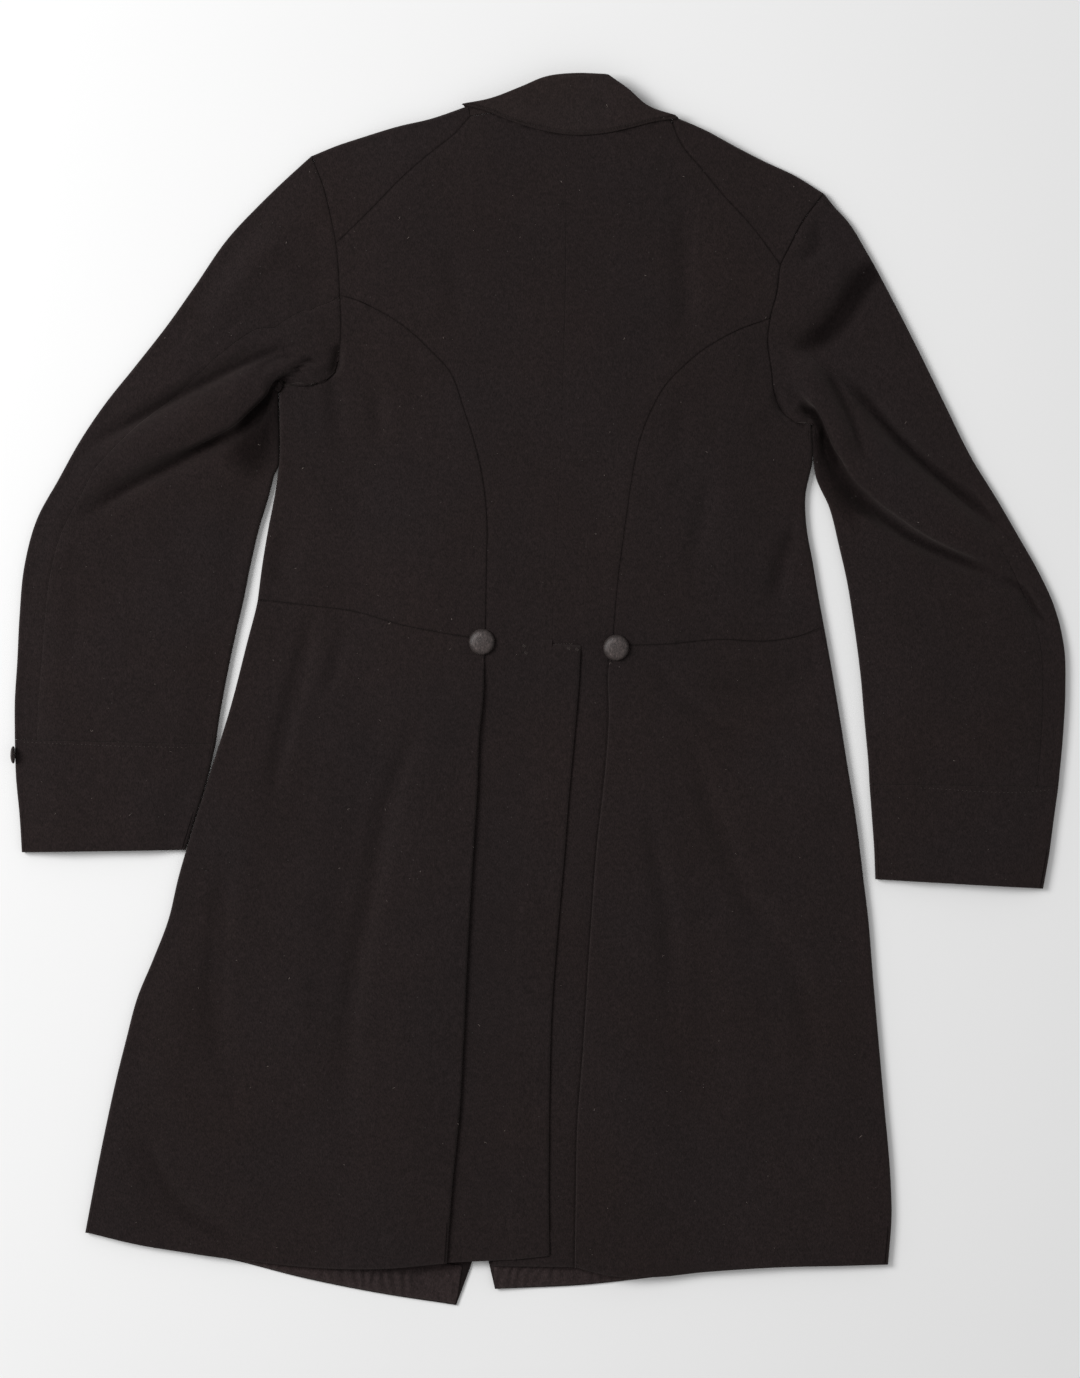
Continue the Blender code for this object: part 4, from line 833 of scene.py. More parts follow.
def back(side):
    """One half of the back, with its tail, the pleat's underlap and its part of the vent."""
    sign = SIGN[side]
    seam, holes = table(SHOULDER_SEAM[side]), table(ARMHOLE[side]) + clearance(side)
    outer = np.vstack([seam, holes[4:6], side_rows(side)])
    inner_y = np.interp(outer[:, 1], [WAIST_Y - 6, 440, 488], [WAIST_Y - 6, 440, 481])
    inner_y[-1] = outer[-1, 1]
    inner = at_heights(CENTRE_SEAM + ((10.5, 30),), inner_y)
    inner[0, 1] = neck_y(inner[0, 0])
    down, across = graded(len(outer) - 1, 6), graded(6, 7) / 6
    outer, inner = curve(outer, down), curve(inner, down)
    neck = spread(seam[0], inner[0], across)
    neck[1:, 1] = neck_y(neck[1:, 0])
    torso = patch(outer, inner, across, top=neck)
    side_line, centre = pulled_in(torso, "left"), pulled_in(torso, "right", FAINT_GAP)
    shoulder = pulled_in(torso, "top")

    pleat_hem_y, middle_hem_y = TAIL_HEM_Y[side]
    tail_y = tail_heights(outer[-1, 1], pleat_hem_y)
    pleat = at_heights(PLEAT_EDGE[side], np.maximum(tail_y, PLEAT_EDGE[side][-1][1]))
    pleat[:, 1] = tail_y
    pleat[:, 0] += sign * (PLEAT_TURN - SEAM_GAP / 2 - 0.1)
    pleat[0] = torso[-1, 0]
    middle = at_heights(VENT_MIDDLE[side], tail_heights(WAIST_Y, middle_hem_y))
    middle[0] = torso[-1, -1]
    hem = spread(pleat[-1], middle[-1], across)
    tail = patch(pleat, middle, None, torso[-1], hem)
    fold = pleat[PLEAT_ROWS - 1:]
    underlap = patch(fold + (sign * UNDERLAP, 0.0), fold, np.linspace(0, 1, 5))

    line = VENT_EDGE if side == "left" else VENT_UNDERLAP
    edge_y = tail_heights(line[0][1], line[-1][1])[1:]
    edge_y[0] = line[0][1]
    middle[1, 1] = edge_y[0] + 1.5
    vent = patch(middle[1:], at_heights(line, edge_y), graded(4, 5) / 4)
    hems, edges = [hem, vent[-1]], [hem, vent[-1]]
    if side == "left":
        hems, edges = hems + [vent[:, -1]], edges + [vent[0], vent[:, -1]]
    top = partial(back_top, side)
    cloth("back_" + side,
          [lifted(torso, top, seams=[side_line, shoulder], faint=[centre]),
           lifted(tail, top, edges=[hem], hems=hems), lifted(underlap, top),
           lifted(vent, top, edges=edges, hems=hems)],
          rests_on=["forepart_" + side, "skirt_" + side])


def side_seam(side):
    """Side seam under the coat, from armhole station 9 to the waist."""
    start = table(ARMHOLE[side][9])
    line = at_heights(SIDE_EDGE[side], np.linspace(start[1], WAIST_SEAM[side][0][1], 7))
    line[:, 0] -= SIGN[side] * SIDE_SEAM_INSET
    line[0] = start
    return line


def inner_line(rows, share, side, last=None):
    """Smooth line through rows that starts where the cloth's turn at the side edge starts."""
    rows = table(rows)
    rows[0, 0] -= SIGN[side] * TURN
    if last is not None:
        rows[-1] = last
    return curve(rows, share * (len(rows) - 1))


def sleeve_corner(side):
    """Upper end of the fold at a sleeve's inner edge, beside the top of the body's side edge."""
    return SIDE_EDGE[side][0][0] + SIGN[side] * SEAM_GAP, SLEEVE[side][0][3] + TURN


def side_body(side):
    """The side body, from the side-back seam round the side edge to the seam underneath."""
    line = table(ARMHOLE[side])
    line[-1] = sleeve_corner(side)
    holes = (line + clearance(side))[5:]
    edge = at_heights(SIDE_EDGE[side], np.linspace(ARMHOLE[side][-1][1], WAIST_SEAM[side][0][1], 7))
    inward = np.array([-SIGN[side], 0.0])
    rim = edge + inward * TURN
    across, down = graded(9, 7) / 9, graded(12, 6)
    # The armhole's curve ends where the turn at the side edge starts
    reach = (rim[0, 0] - holes[5, 0]) / (holes[6, 0] - holes[5, 0])
    armhole = curve(holes, np.where(down > 5, 5 + (down - 5) * reach, down)[down <= 6])
    rim[0] = armhole[-1]
    outer = np.vstack([armhole, curve(np.vstack([holes[:-1], rim]), down[down > 6])])
    bottom = inner_line(WAIST_SEAM[side], across, side)
    bottom[0] = outer[-1]
    upper = patch(outer, curve(side_rows(side), down), across, bottom=bottom)
    seams = [pulled_in(upper, border) for border in ("top", "bottom", "right")]
    start = int(np.argmin(abs(down - 6)))
    seams.append(upper[:start + 1, 0].copy())
    rim = upper[start:, 0]
    wrap, share = turned(rim, inward, TURN)
    under_seam = curve(side_seam(side), np.linspace(0, 6, len(rim)))
    coarse = np.linspace(0, 2, 9)
    below = patch(rim, under_seam, coarse / 2, top=curve([rim[0], holes[5], under_seam[0]], coarse))
    below[0, 1:, 1] -= SEAM_GAP
    pulled_in(below, "right")
    cloth("side_" + side,
          [lifted(upper, body_top, seams=seams), lifted(wrap, body_top, lift, share, seams=seams[1:2]),
           lifted(below, lift)],
          rests_on=["forepart_" + side, "floor"])


def across_roll(side):
    """Direction in the plan from the roll line over the forepart."""
    neck, end = table(ROLL_LINE[side])
    along = unit(neck - end)
    way = np.array([along[1], -along[0]])
    return way * np.sign(way[0] * SIGN[side])


def forepart(side):
    """The forepart, from the shoulder seam on the back over the shoulder to the waist underneath."""
    holes = table(ARMHOLE[side]) + clearance(side)
    across, down = graded(5, 8), graded(3, 8)
    seam = curve(np.vstack([SHOULDER_SEAM[side][:-1], holes[3]]), across)
    edge = curve(np.vstack([SHOULDER_EDGE[side][:-1], holes[0]]), across)
    inward = sideways(edge)
    inward *= np.sign(-inward[:, 1])[:, None]
    near_hole = smooth(across - 4.0)[:, None]
    inward = unit(inward * (1 - near_hole) + armhole_top_way(side) * near_hole)
    crest = edge + inward * TURN
    upper = patch(spread(seam[0], crest[0], down / 3), curve([*holes[3:0:-1], crest[-1]], down),
                  None, seam, crest)
    seams = [pulled_in(upper, "top"), upper[:, -1].copy()]
    wrap, share = turned(crest, inward, TURN)

    roll = table(ROLL_LINE[side])
    clear = across_roll(side) * ROLL_CLEAR
    inner_roll = spread(roll[0] + unit(roll[1] - roll[0]) * 6 + clear, roll[1] + clear,
                        np.linspace(0, 1, 10))
    inner_roll[0] = crest[0]
    front_y = np.linspace(roll[1, 1], WAIST_SEAM[side][0][1], 7)[1:]
    front = np.column_stack([np.full(6, float(FRONT_EDGE[side][0][0])), front_y])
    at = np.linspace(0, 15, 61)
    outer = curve(np.vstack([crest[-1], holes[1:10], side_seam(side)[1:]]), at)
    below = patch(outer, curve(np.vstack([inner_roll, front]), at), across / 5, top=crest[::-1])
    pulled_in(below, "bottom")
    below[at >= 10, 0, 0] -= SIGN[side] * SEAM_GAP / 2
    under = partial(front_bottom, side)
    cloth("forepart_" + side, [lifted(upper, body_top, seams=seams),
                               lifted(wrap, body_top, under, share), lifted(below, under)])


def skirt(side):
    """One skirt, from the rear pleat's fold round the side edge to the front edge underneath."""
    sign = SIGN[side]
    top_y, low_y = float(WAIST_SEAM[side][-1][1]), float(SKIRT_HEM[side][-1][1])
    pleat_y = np.concatenate([top_y - (top_y - PLEAT_START_Y) * graded(2, 6, False) / 2,
                              fine_end(np.linspace(PLEAT_START_Y, low_y, 131))[1:]])
    pleat = at_heights(PLEAT_EDGE[side], pleat_y)
    radius = np.maximum(PLEAT_TURN * below_waist(pleat_y), 0.1)
    pleat[:, 0] += sign * radius
    share = graded(10, 9) / 10
    waist = inner_line(WAIST_SEAM[side], share, side, pleat[0])
    hem = inner_line(SKIRT_HEM[side], share, side, pleat[-1])
    down = (top_y - pleat_y) / (top_y - low_y)
    inward = np.array([-sign, 0.0])
    edge = at_heights(SIDE_EDGE[side], waist[0, 1] + (hem[0, 1] - waist[0, 1]) * down)
    outer = edge + inward * TURN
    waist[0], hem[0] = outer[0], outer[-1]
    upper = patch(outer, pleat, None, waist, hem)
    seams = [pulled_in(upper, "top")]
    wrap, wrap_share = turned(upper[:, 0], inward, TURN)

    coarse = np.linspace(0, 1, 30)
    front_hem = curve(FRONT_HEM[side], coarse * (len(FRONT_HEM[side]) - 1))
    under_y = np.linspace(WAIST_SEAM[side][0][1] - SEAM_GAP / 2, FRONT_EDGE[side][-1][1], len(edge))
    front = at_heights(FRONT_EDGE[side], np.minimum(under_y, FRONT_EDGE[side][0][1]))
    front[:, 1] = under_y
    front_hem[0], front_hem[-1] = upper[-1, 0], front[-1]
    below = patch(upper[:, 0], front, coarse, bottom=front_hem)

    fold, fold_share = turned(upper[:, -1], -inward, radius)
    inner = fold[int(np.argmin(abs(pleat_y - PLEAT_START_Y))):, -1]
    underlay = patch(inner, inner - inward * UNDERLAY, np.linspace(0, 1, 6))
    under = partial(front_bottom, side)

    def top(x, y):
        return np.maximum(skirt_top(side, x, y), HEM_STACK)

    def over_tail(x, y):
        return skirt_top(side, x, y) - 2 * PLEAT_TURN * below_waist(y)

    cloth("skirt_" + side,
          [lifted(upper, top, seams=seams, edges=[hem], hems=[hem]),
           lifted(wrap, top, under, wrap_share), lifted(below, under),
           lifted(fold, top, over_tail, fold_share), lifted(underlay, over_tail)],
          with_pieces=[hem_turn(side)])


TURNED_HEM, PUCKER_SIZE = 34.0, 9.0
HEM_CLOTH = 0.0005


def hem_turn(side):
    """The front's turned-up hem, eased in small puckers, which shows below the back hem."""
    sign = SIGN[side]
    line = even(FRONT_HEM[side], 260)[18:]
    up = sideways(line)
    up *= np.sign(up[:, 1])[:, None]
    width = np.linspace(0.6, TURNED_HEM, 16)
    grid = line[:, None] + up[:, None] * width[:, None]
    front_y, front_x = table(FRONT_EDGE[side])[::-1, ::-1].T
    limit = np.interp(grid[..., 1], front_y, front_x) + sign * 1.5
    grid[..., 0] = sign * np.maximum(sign * grid[..., 0], sign * limit)
    x, y = grid[..., 0], grid[..., 1]
    run = run_along(line)[:, None] + 0.35 * width
    pucker = 0.5 + 0.5 * np.sin(run / PUCKER_SIZE * 2 * math.pi + 2.2 * ripple(x, y, 14, 21))
    pucker *= smooth(ripple(x, y * 0, 26, 22) * 0.9 + 0.65) * smooth((run - 90.0) / 50.0)
    pucker *= PUCKER_HEIGHT * np.sin(width / width[-1] * math.pi) ** 0.6
    inner = front_bottom(side, x, y) + look().cloth / MM + 0.5
    sheet = bmesh.new()
    add_grid(sheet, to_frame(lifted(grid, lambda x, y: inner + pucker, edges=[grid[:, 0]])))
    piece = new_piece("hem_turn_" + side, sheet)
    thicken(piece, HEM_CLOTH, 0.0)
    return finished(piece, None, cloth_material("hem_wool"))


def sleeve_borders(side, at):
    """Both edges of a flattened sleeve and the ways in from them."""
    rows = table(SLEEVE[side])
    outer, inner = rows[:, :2].copy(), rows[:, 2:]
    across = unit(inner - outer)
    ways = []
    for line, station, inside, first in ((outer, 1, across, armhole_top_way(side)),
                                         (inner, 10, -across, (0.0, 1.0))):
        way = sideways(np.vstack([ARMHOLE[side][station], line]))[1:]
        way *= np.sign((way * inside).sum(axis=1))[:, None]
        way[0], way[-1] = first, inside[-1]
        ways.append(unit(read_off(way, np.arange(len(way)), at)))
    outer[0] -= clearance(side)[0]
    inner = curve(inner, at)
    body = even(SIDE_EDGE[side], 400)[::-1]
    close = np.interp(inner[:, 1], body[:, 1], body[:, 0]) + SIGN[side] * SEAM_GAP
    inner[:, 0] += (close - inner[:, 0]) * smooth((inner[:, 1] - TOUCH_Y[side]) / 10.0)
    return curve(outer, at), ways[0], inner, ways[1]


def sleeve_grid(side, at, stations, shares, seam_weight=0.0):
    """Plan grid across a sleeve between its turned edges, from stations on the armhole down.

    Shares of the way across lie beside each other; the hind-arm seam moves them by its weight.
    """
    outer, out_way, inner, in_way = sleeve_borders(side, at)
    start, end = outer + out_way * TURN, inner + in_way * TURN
    reach = run_along((outer + inner) / 2)
    reach = (reach / reach[-1])[:, None]
    holes = table(ARMHOLE[side]) - clearance(side)
    holes[0], holes[11] = start[0], end[0]
    line = curve(holes, stations)
    chord = end[0] - start[0]
    along = np.clip(((line - start[0]) @ chord) / (chord @ chord), 0.0, 1.0)
    bulge = line - (start[0] + chord * along[:, None])
    fade = 0.16 - 0.156 * (stations / 11.0) ** 2
    settle = 0.12 - 0.085 * (stations / 11.0) ** 2
    mix = smooth(reach / settle)
    seam = np.interp(reach, *table(HIND_SEAM[side]).T)
    across = along * (1 - mix) + (shares + seam_weight * seam) * mix
    grid = start[:, None] + (end - start)[:, None] * across[..., None]
    return grid + bulge * (1.0 - smooth(reach / fade))[..., None]


# Crests of the sleeves' rolls and how far they lean over the pockets beside them
ROLL_LEANS = ((((-206, 282), (-224, 268), (-246, 246), (-270, 228), (-320, 200)), 3.4, -4.6),
              (((222, 258), (240, 240), (254, 212), (268, 182)), -4.6, -1.6),
              (((262, 186), (300, 152), (350, 124), (400, 104)), -1.8, -3.2))


def leaning(grid):
    x, y = grid[..., 0].copy(), grid[..., 1].copy()
    high = smooth((grid[..., 2] - 6.5) / 5.0)
    for line, dx, dy in ROLL_LEANS:
        weight, share = beside(even(line, 12), x, y, 15.0)
        push = high * weight * ends(share)
        grid[..., 0] += dx * push
        grid[..., 1] += dy * push
    return grid


def sleeve(side):
    """Top sleeve and under sleeve, each a sheet round one edge of the flattened sleeve."""
    down = graded(15, 10)
    _, out_way, _, in_way = sleeve_borders(side, down)
    near, far = graded(5, 7), graded(6, 10)
    low_near, low_far = np.linspace(0, 8, 17), np.linspace(11, 8, 7)
    # Rim column, way in, border at the hind-arm seam, grid above and grid underneath
    halves = {"sleeve_top_": (0, out_way, "right", (near, 0.0, near / 5),
                              (low_near, low_near / 8 * FOREARM_SEAM)),
              "sleeve_under_": (-1, in_way, "left", (5 + far, far / 6, 1 - far / 6),
                                (low_far, 1 - (11 - low_far) / 3 * (1 - FOREARM_SEAM)))}
    for name, (rim, way, border, above, underneath) in halves.items():
        upper, lower = sleeve_grid(side, down, *above), sleeve_grid(side, down, *underneath)
        seams = [pulled_in(upper, "bottom"), pulled_in(upper, border)]
        armhole = upper[0].copy()
        wrap, share = turned(upper[:, rim], way, TURN)
        pulled_in(lower, "bottom")
        pulled_in(lower, "right")
        lower[:, 0] = upper[:, rim]
        # The armhole's seam counts twice, as its two edges are pressed together
        cloth(name + side, [leaning(lifted(upper, sleeve_top, seams=seams + [armhole, armhole])),
                            lifted(wrap, sleeve_top, floor_height, share), lifted(lower, floor_height)])


def cuff(side):
    """The cuff, a flattened ring of cloth below the sleeve."""
    rows = table(CUFF[side])
    at, across = graded(3, 9), graded(7, 7) / 7
    outer, inner = curve(rows[:, :2], at), curve(rows[:, 2:], at)
    inward = unit(inner - outer)
    face = patch(outer + inward * TURN, inner - inward * TURN, across)
    seams, hem = [pulled_in(face, "top")], [face[-1]]
    turns = turned(face[:, 0], inward, TURN), turned(face[:, -1], -inward, TURN)
    cloth("cuff_" + side, [lifted(face, sleeve_top, seams=seams, edges=hem, hems=hem),
                           *(lifted(wrap, sleeve_top, floor_height, share) for wrap, share in turns),
                           lifted(face, floor_height)])


def collar():
    """The collar's fall on the back, its roll and the stand inside it."""
    rows, count = table(COLLAR), 76
    roll, outer = even(rows[:, 0:2], count), even(rows[:, 2:4], count)
    neck_x = np.linspace(NECK_SEAM[0, 0], NECK_SEAM[-1, 0], count)
    radius = CLOTH + LAYER_GAP / 2
    down = unit(outer - roll)
    inside = roll + down * radius
    wrap, share = turned(inside, down, radius)
    stand = patch(inside, np.column_stack([neck_x, neck_y(neck_x)]), np.linspace(0, 1, 6))
    pulled_in(stand, "right", 2 * SEAM_GAP)
    middle = even([(30.5, 524), (29, 468)], 6)

    def top(x, y):
        return body_top(x, y) + LAP + 0.35

    def under(x, y):
        return body_top(x, y) - CLOTH

    cloth("collar", [lifted(patch(outer, inside, graded(3, 6, False) / 3), top, seams=[middle],
                            edges=[outer]),
                     lifted(wrap, top, under, share), lifted(stand, under)],
          slot="collar_wool", rests_on=["back_left", "back_right"])


def under_front(name, side, widths, slot, turned_over=True):
    """A lapel or collar leaf that lies under the forepart; a lapel turns at the roll line."""
    rows = table(widths)
    share = np.linspace(rows[0, 0], rows[-1, 0], 40)
    wide = np.interp(share, rows[:, 0], rows[:, 1])
    neck, end = table(ROLL_LINE[side])
    roll, across = end + (neck - end) * share[:, None], across_roll(side)
    radius = (CLOTH + FRONT_LAP) / 2
    inside = roll + across * radius

    def upper(x, y):
        return front_bottom(side, x, y) + CLOTH

    def lower(x, y):
        return front_bottom(side, x, y) - FRONT_LAP

    grids = [lifted(patch(inside, roll + across * wide[:, None], np.linspace(0, 1, 16)), lower)]
    if turned_over:
        wrap, turn_share = turned(inside, across, radius)
        lip = patch(roll + across * (ROLL_CLEAR - SEAM_GAP), inside, (0, 0.5, 1))
        grids += [lifted(wrap, upper, lower, turn_share), lifted(lip, upper)]
    cloth(name + side, grids, slot=slot, faces_up=False)


def lapels(side):
    under_front("lapel_", side, LAPEL_WIDTH[side], "wool")
    under_front("collar_leaf_", side, COLLAR_LEAF, "collar_wool", turned_over=False)


# Buttons, stitches and loose fibres

# Outline of a cover from its middle to its back: share of the radius, share of the height
DOME = ((0.0, 1.0), (0.22, 0.985), (0.45, 0.94), (0.66, 0.85), (0.82, 0.71), (0.93, 0.54), (0.985, 0.38),
        (1.0, 0.24), (0.97, 0.12), (0.9, 0.04), (0.82, 0.0), (0.0, 0.0))
LOW_DOME = ((0.0, 1.0), (0.3, 0.97), (0.6, 0.88), (0.82, 0.72), (0.94, 0.52), (1.0, 0.28), (0.98, 0.12),
            (0.9, 0.0), (0.0, 0.0))
BACK_BUTTON_HEIGHT, FRONT_BUTTON_HEIGHT, CUFF_BUTTON_HEIGHT = 5.0, 3.6, 3.0
CUFF_BUTTON_RADIUS, CUFF_BUTTON_Z = 7.5, 7.8
# Painted shade on a button's cover, darkest at its rim
RIM_SHADE = 0.75


def button(node, radius, height, profile, place, turn=(0.0, 0.0, 0.0)):
    """A cloth-covered button: a turned dome with a rounded rim."""
    outline = bmesh.new()
    verts = [outline.verts.new((share * radius * MM, 0.0, rise * height * MM))
             for share, rise in profile]
    for a, b in zip(verts[:-1], verts[1:]):
        outline.edges.new((a, b))
    bmesh.ops.spin(outline, geom=outline.verts[:] + outline.edges[:], angle=2 * math.pi, steps=56,
                   axis=(0, 0, 1), cent=(0, 0, 0), use_merge=True)
    bmesh.ops.remove_doubles(outline, verts=outline.verts, dist=0.004 * MM)
    bmesh.ops.recalc_face_normals(outline, faces=outline.faces)
    # Painted shade that darkens the cover towards its rim
    painted_shade = outline.verts.layers.float.new("painted_shade")
    for vert in outline.verts:
        out = math.hypot(vert.co.x, vert.co.y) / (radius * MM)
        vert[painted_shade] = RIM_SHADE * float(smooth((out - 0.62) / 0.4))
    piece = new_piece(node + "_cover", outline)
    piece.rotation_euler = turn
    piece.location = to_frame(place)
    bpy.context.view_layer.update()
    finished(piece, node, cloth_material("button_cloth"))


def highest(surface, x, y, radius):
    ring = np.linspace(0.0, 2 * math.pi, 12, endpoint=False)
    return float(np.max(surface(x + radius * np.cos(ring), y + radius * np.sin(ring))))


def all_buttons():
    """Two at the back waist, two columns on the front and one on the left cuff."""
    wide = look().button_radius / MM
    for side, (x, y) in BACK_BUTTON_AT.items():
        top = max(highest(surface, x, y, wide) for surface in (body_top, partial(skirt_top, side)))
        button("back_button_" + side, wide, BACK_BUTTON_HEIGHT, DOME, (x, y, top + 0.1))
    for column, x in zip(("left", "right"), FRONT_BUTTON_COLUMNS):
        for row, y in enumerate(FRONT_BUTTON_ROWS, start=1):
            button("front_button_%s_%d" % (column, row), wide, FRONT_BUTTON_HEIGHT, LOW_DOME,
                   (x, y, FRONT_LIFT - 0.3), (math.pi, 0.0, 0.0))
    rows = table(CUFF["left"])
    x = np.interp(CUFF_BUTTON_Y, rows[::-1, 1], rows[::-1, 0])
    button("cuff_button_left", CUFF_BUTTON_RADIUS, CUFF_BUTTON_HEIGHT, LOW_DOME,
           (x - 0.3, CUFF_BUTTON_Y, CUFF_BUTTON_Z), (0.0, -math.pi / 2, 0.0))


def surface_point(x, y, below=False):
    """Place on the cloth above or below a plan point, in millimetres, or None beside the coat."""
    side = -1.0 if below else 1.0
    hit, place, *_ = bpy.context.scene.ray_cast(
        bpy.context.evaluated_depsgraph_get(), Vector(to_frame((x, y, side * 60.0))),
        Vector((0.0, 0.0, -side)))
    return np.array(place) / MM - (PLAN_X, PLAN_Y, 0.0) if hit else None


def strand(mesh, points, radius, sides=5):
    """Add a thin round thread through points, with pointed ends."""
    points = to_frame(points)
    turns = np.linspace(0, 2 * math.pi, sides, endpoint=False)
    rings = []
    for k, place in enumerate(points):
        ahead = points[min(k + 1, len(points) - 1)] - points[max(k - 1, 0)]
        ahead /= max(np.linalg.norm(ahead), 1e-9)
        across = np.cross(ahead, (0.0, 0.0, 1.0) if abs(ahead[2]) < 0.9 else (1.0, 0.0, 0.0))
        across /= np.linalg.norm(across)
        up = np.cross(across, ahead)
        size = radius * MM * (0.35 if k in (0, len(points) - 1) else 1.0)
        rings.append([mesh.verts.new(place + size * (math.cos(a) * across + math.sin(a) * up))
                      for a in turns])
    for a, b in zip(rings[:-1], rings[1:]):
        for k in range(sides):
            mesh.faces.new((a[k], a[(k + 1) % sides], b[(k + 1) % sides], b[k]))
    mesh.faces.new(rings[0][::-1])
    mesh.faces.new(rings[-1])


THREAD = 0.2


def stitch(mesh, x, y, dx, dy, radius=THREAD, below=False):
    """One stitch between two plan points, with its ends in the cloth."""
    ends = [surface_point(x + dx * t, y + dy * t, below) for t in (-0.5, 0.5)]
    if any(end is None for end in ends) or abs(ends[0][2] - ends[1][2]) > 1.5:
        return
    side = -1.0 if below else 1.0
    low, high = -0.6 * radius, 0.5 * radius - 0.05
    strand(mesh, [ends[0] + (ends[1] - ends[0]) * t + (0, 0, side * z)
                  for t, z in ((0, low), (0.2, high), (0.8, high), (1, low))], radius)


def stitch_row(mesh, line, spacing, size, seed, radius=THREAD, turn=0.0, below=False):
    """A hand-sewn row along a line, turn gives the slant of each stitch in radians."""
    chance = np.random.default_rng(seed)
    points = even(line, max(3, int(lengths(even(line, 60)).sum() / spacing)))
    for (x, y), (u, v) in zip(points[1:-1], np.gradient(points, axis=0)[1:-1]):
        angle = math.atan2(v, u) + turn + chance.normal(0, 0.12)
        long = size * chance.uniform(0.8, 1.15)
        x, y = x + chance.normal(0, 0.12), y + chance.normal(0, 0.12)
        stitch(mesh, x, y, long * math.cos(angle), long * math.sin(angle), radius, below)


def strands_piece(name, mesh, material):
    bmesh.ops.recalc_face_normals(mesh, faces=mesh.faces)
    finished(new_piece(name, mesh), None, material)


COLLAR_STITCHES = tuple((row[2], row[3] + 2.6) for row in COLLAR[1:-1])
CUFF_STITCHES = (((-442, -45), (-355, -48.5), (-297, -50)), ((321, -84), (423, -87), (437, -85.5)))
VENT_STITCHES = ((12, 38.6), (30, 38.6))
# Spacing and length of the stitches in a row
CUFF_ROW, VENT_ROW, COLLAR_ROW = (3.4, 1.3), (2.0, 1.3), (2.4, 1.5)
VENT_TACKS = ((-14.0, 37.0), (-12.5, 31.0), (24.0, 35.0), (31.0, 34.0))
# Stitches that hold the cloth lie this far above the back buttons
STAY_RISE = 12.2
BUTTONHOLE_HALF, BUTTONHOLE_LIP, BUTTONHOLE_THREAD = 15.0, 1.3, 0.24


def stitching():
    """Stitches above both cuffs, at the vent, round the buttonholes and at the collar's edge."""
    mesh = bmesh.new()
    for line in CUFF_STITCHES:
        stitch_row(mesh, line, *CUFF_ROW, seed=3)
    stitch_row(mesh, VENT_STITCHES, *VENT_ROW, seed=5)
    for x, y in VENT_TACKS:
        for k in range(3):
            stitch(mesh, x + 0.9 * k, y - 0.5 * k, 1.0, 2.4, 0.22)
    buttonhole = partial(stitch_row, mesh, size=1.9, radius=BUTTONHOLE_THREAD, turn=math.pi / 2,
                         below=True)
    for y in FRONT_BUTTON_ROWS:
        start, end = (FRONT_BUTTON_COLUMNS[1] + way * BUTTONHOLE_HALF for way in (-1, 1))
        for rise in (-BUTTONHOLE_LIP, BUTTONHOLE_LIP):
            buttonhole(((start, y + rise), (end, y + rise)), 0.9, seed=7)
        buttonhole(((end + 0.5, y - 1.8), (end + 0.5, y + 1.8)), 0.8, seed=8)
    strands_piece("stitches", mesh, thread_material("sewing thread"))
    mesh = bmesh.new()
    stitch_row(mesh, COLLAR_STITCHES, *COLLAR_ROW, seed=2)
    for x, y in BACK_BUTTON_AT.values():
        for k in range(4):
            stitch(mesh, x - 8 + 5 * k, y + STAY_RISE, 1.4, 0.2)
    strands_piece("collar_stitches", mesh, thread_material("dark thread", 0.4))


# Where fibres may lie, from left to right and from hem to collar
LINT_X, LINT_Y = (-440, 440), (-505, 515)


def lint():
    """Loose fibres and specks caught on the nap."""
    mesh = bmesh.new()
    chance = np.random.default_rng(11)
    laid = 0
    while laid < look().lint:
        x, y = chance.uniform(*LINT_X), chance.uniform(*LINT_Y)
        place = surface_point(x, y)
        if place is None:
            continue
        laid += 1
        size = 0.35 + 1.4 * chance.random() ** 3
        angle = chance.uniform(0, math.pi)
        bend = chance.uniform(-0.8, 0.8)
        points = []
        for t in (-1.0, -0.4, 0.4, 1.0):
            way = np.array([math.cos(angle + bend * t), math.sin(angle + bend * t), 0.0])
            points.append(place + way * size * t + (0, 0, 0.1))
        strand(mesh, points, chance.uniform(0.07, 0.15), 4)
    strands_piece("lint", mesh, thread_material("pale fibre", 4.0))


# Materials

def feed(tree, made, sockets):
    """Give a node's sockets their values, or links from the nodes that make them."""
    for name, value in sockets.items():
        if isinstance(value, bpy.types.NodeSocket):
            tree.links.new(value, made.inputs[name])
        else:
            made.inputs[name].default_value = value


def node(tree, kind, sockets, **settings):
    made = tree.nodes.new("ShaderNode" + kind)
    for name, value in settings.items():
        setattr(made, name, value)
    feed(tree, made, sockets)
    return made


def noise(tree, place, scale, detail=2.0, roughness=0.5):
    return node(tree, "TexNoise", {"Vector": place, "Scale": scale, "Detail": detail,
                                   "Roughness": roughness}).outputs["Fac"]


def to_range(tree, source, low, high, start=0.3, end=0.7):
    """Map a value that lies mostly between start and end to low and high."""
    return node(tree, "MapRange", {"Value": source, "From Min": start, "From Max": end, "To Min": low,
                                   "To Max": high}).outputs["Result"]


def maths(tree, operation, a, b):
    return node(tree, "Math", {0: a, 1: b}, operation=operation).outputs["Value"]


def scaled(tree, vector, amount):
    return node(tree, "VectorMath", {0: vector, "Scale": amount}, operation="SCALE").outputs["Vector"]


def mixed(tree, factor, a, b):
    return node(tree, "Mix", {0: factor, 6: a, 7: b}, data_type="RGBA").outputs[2]


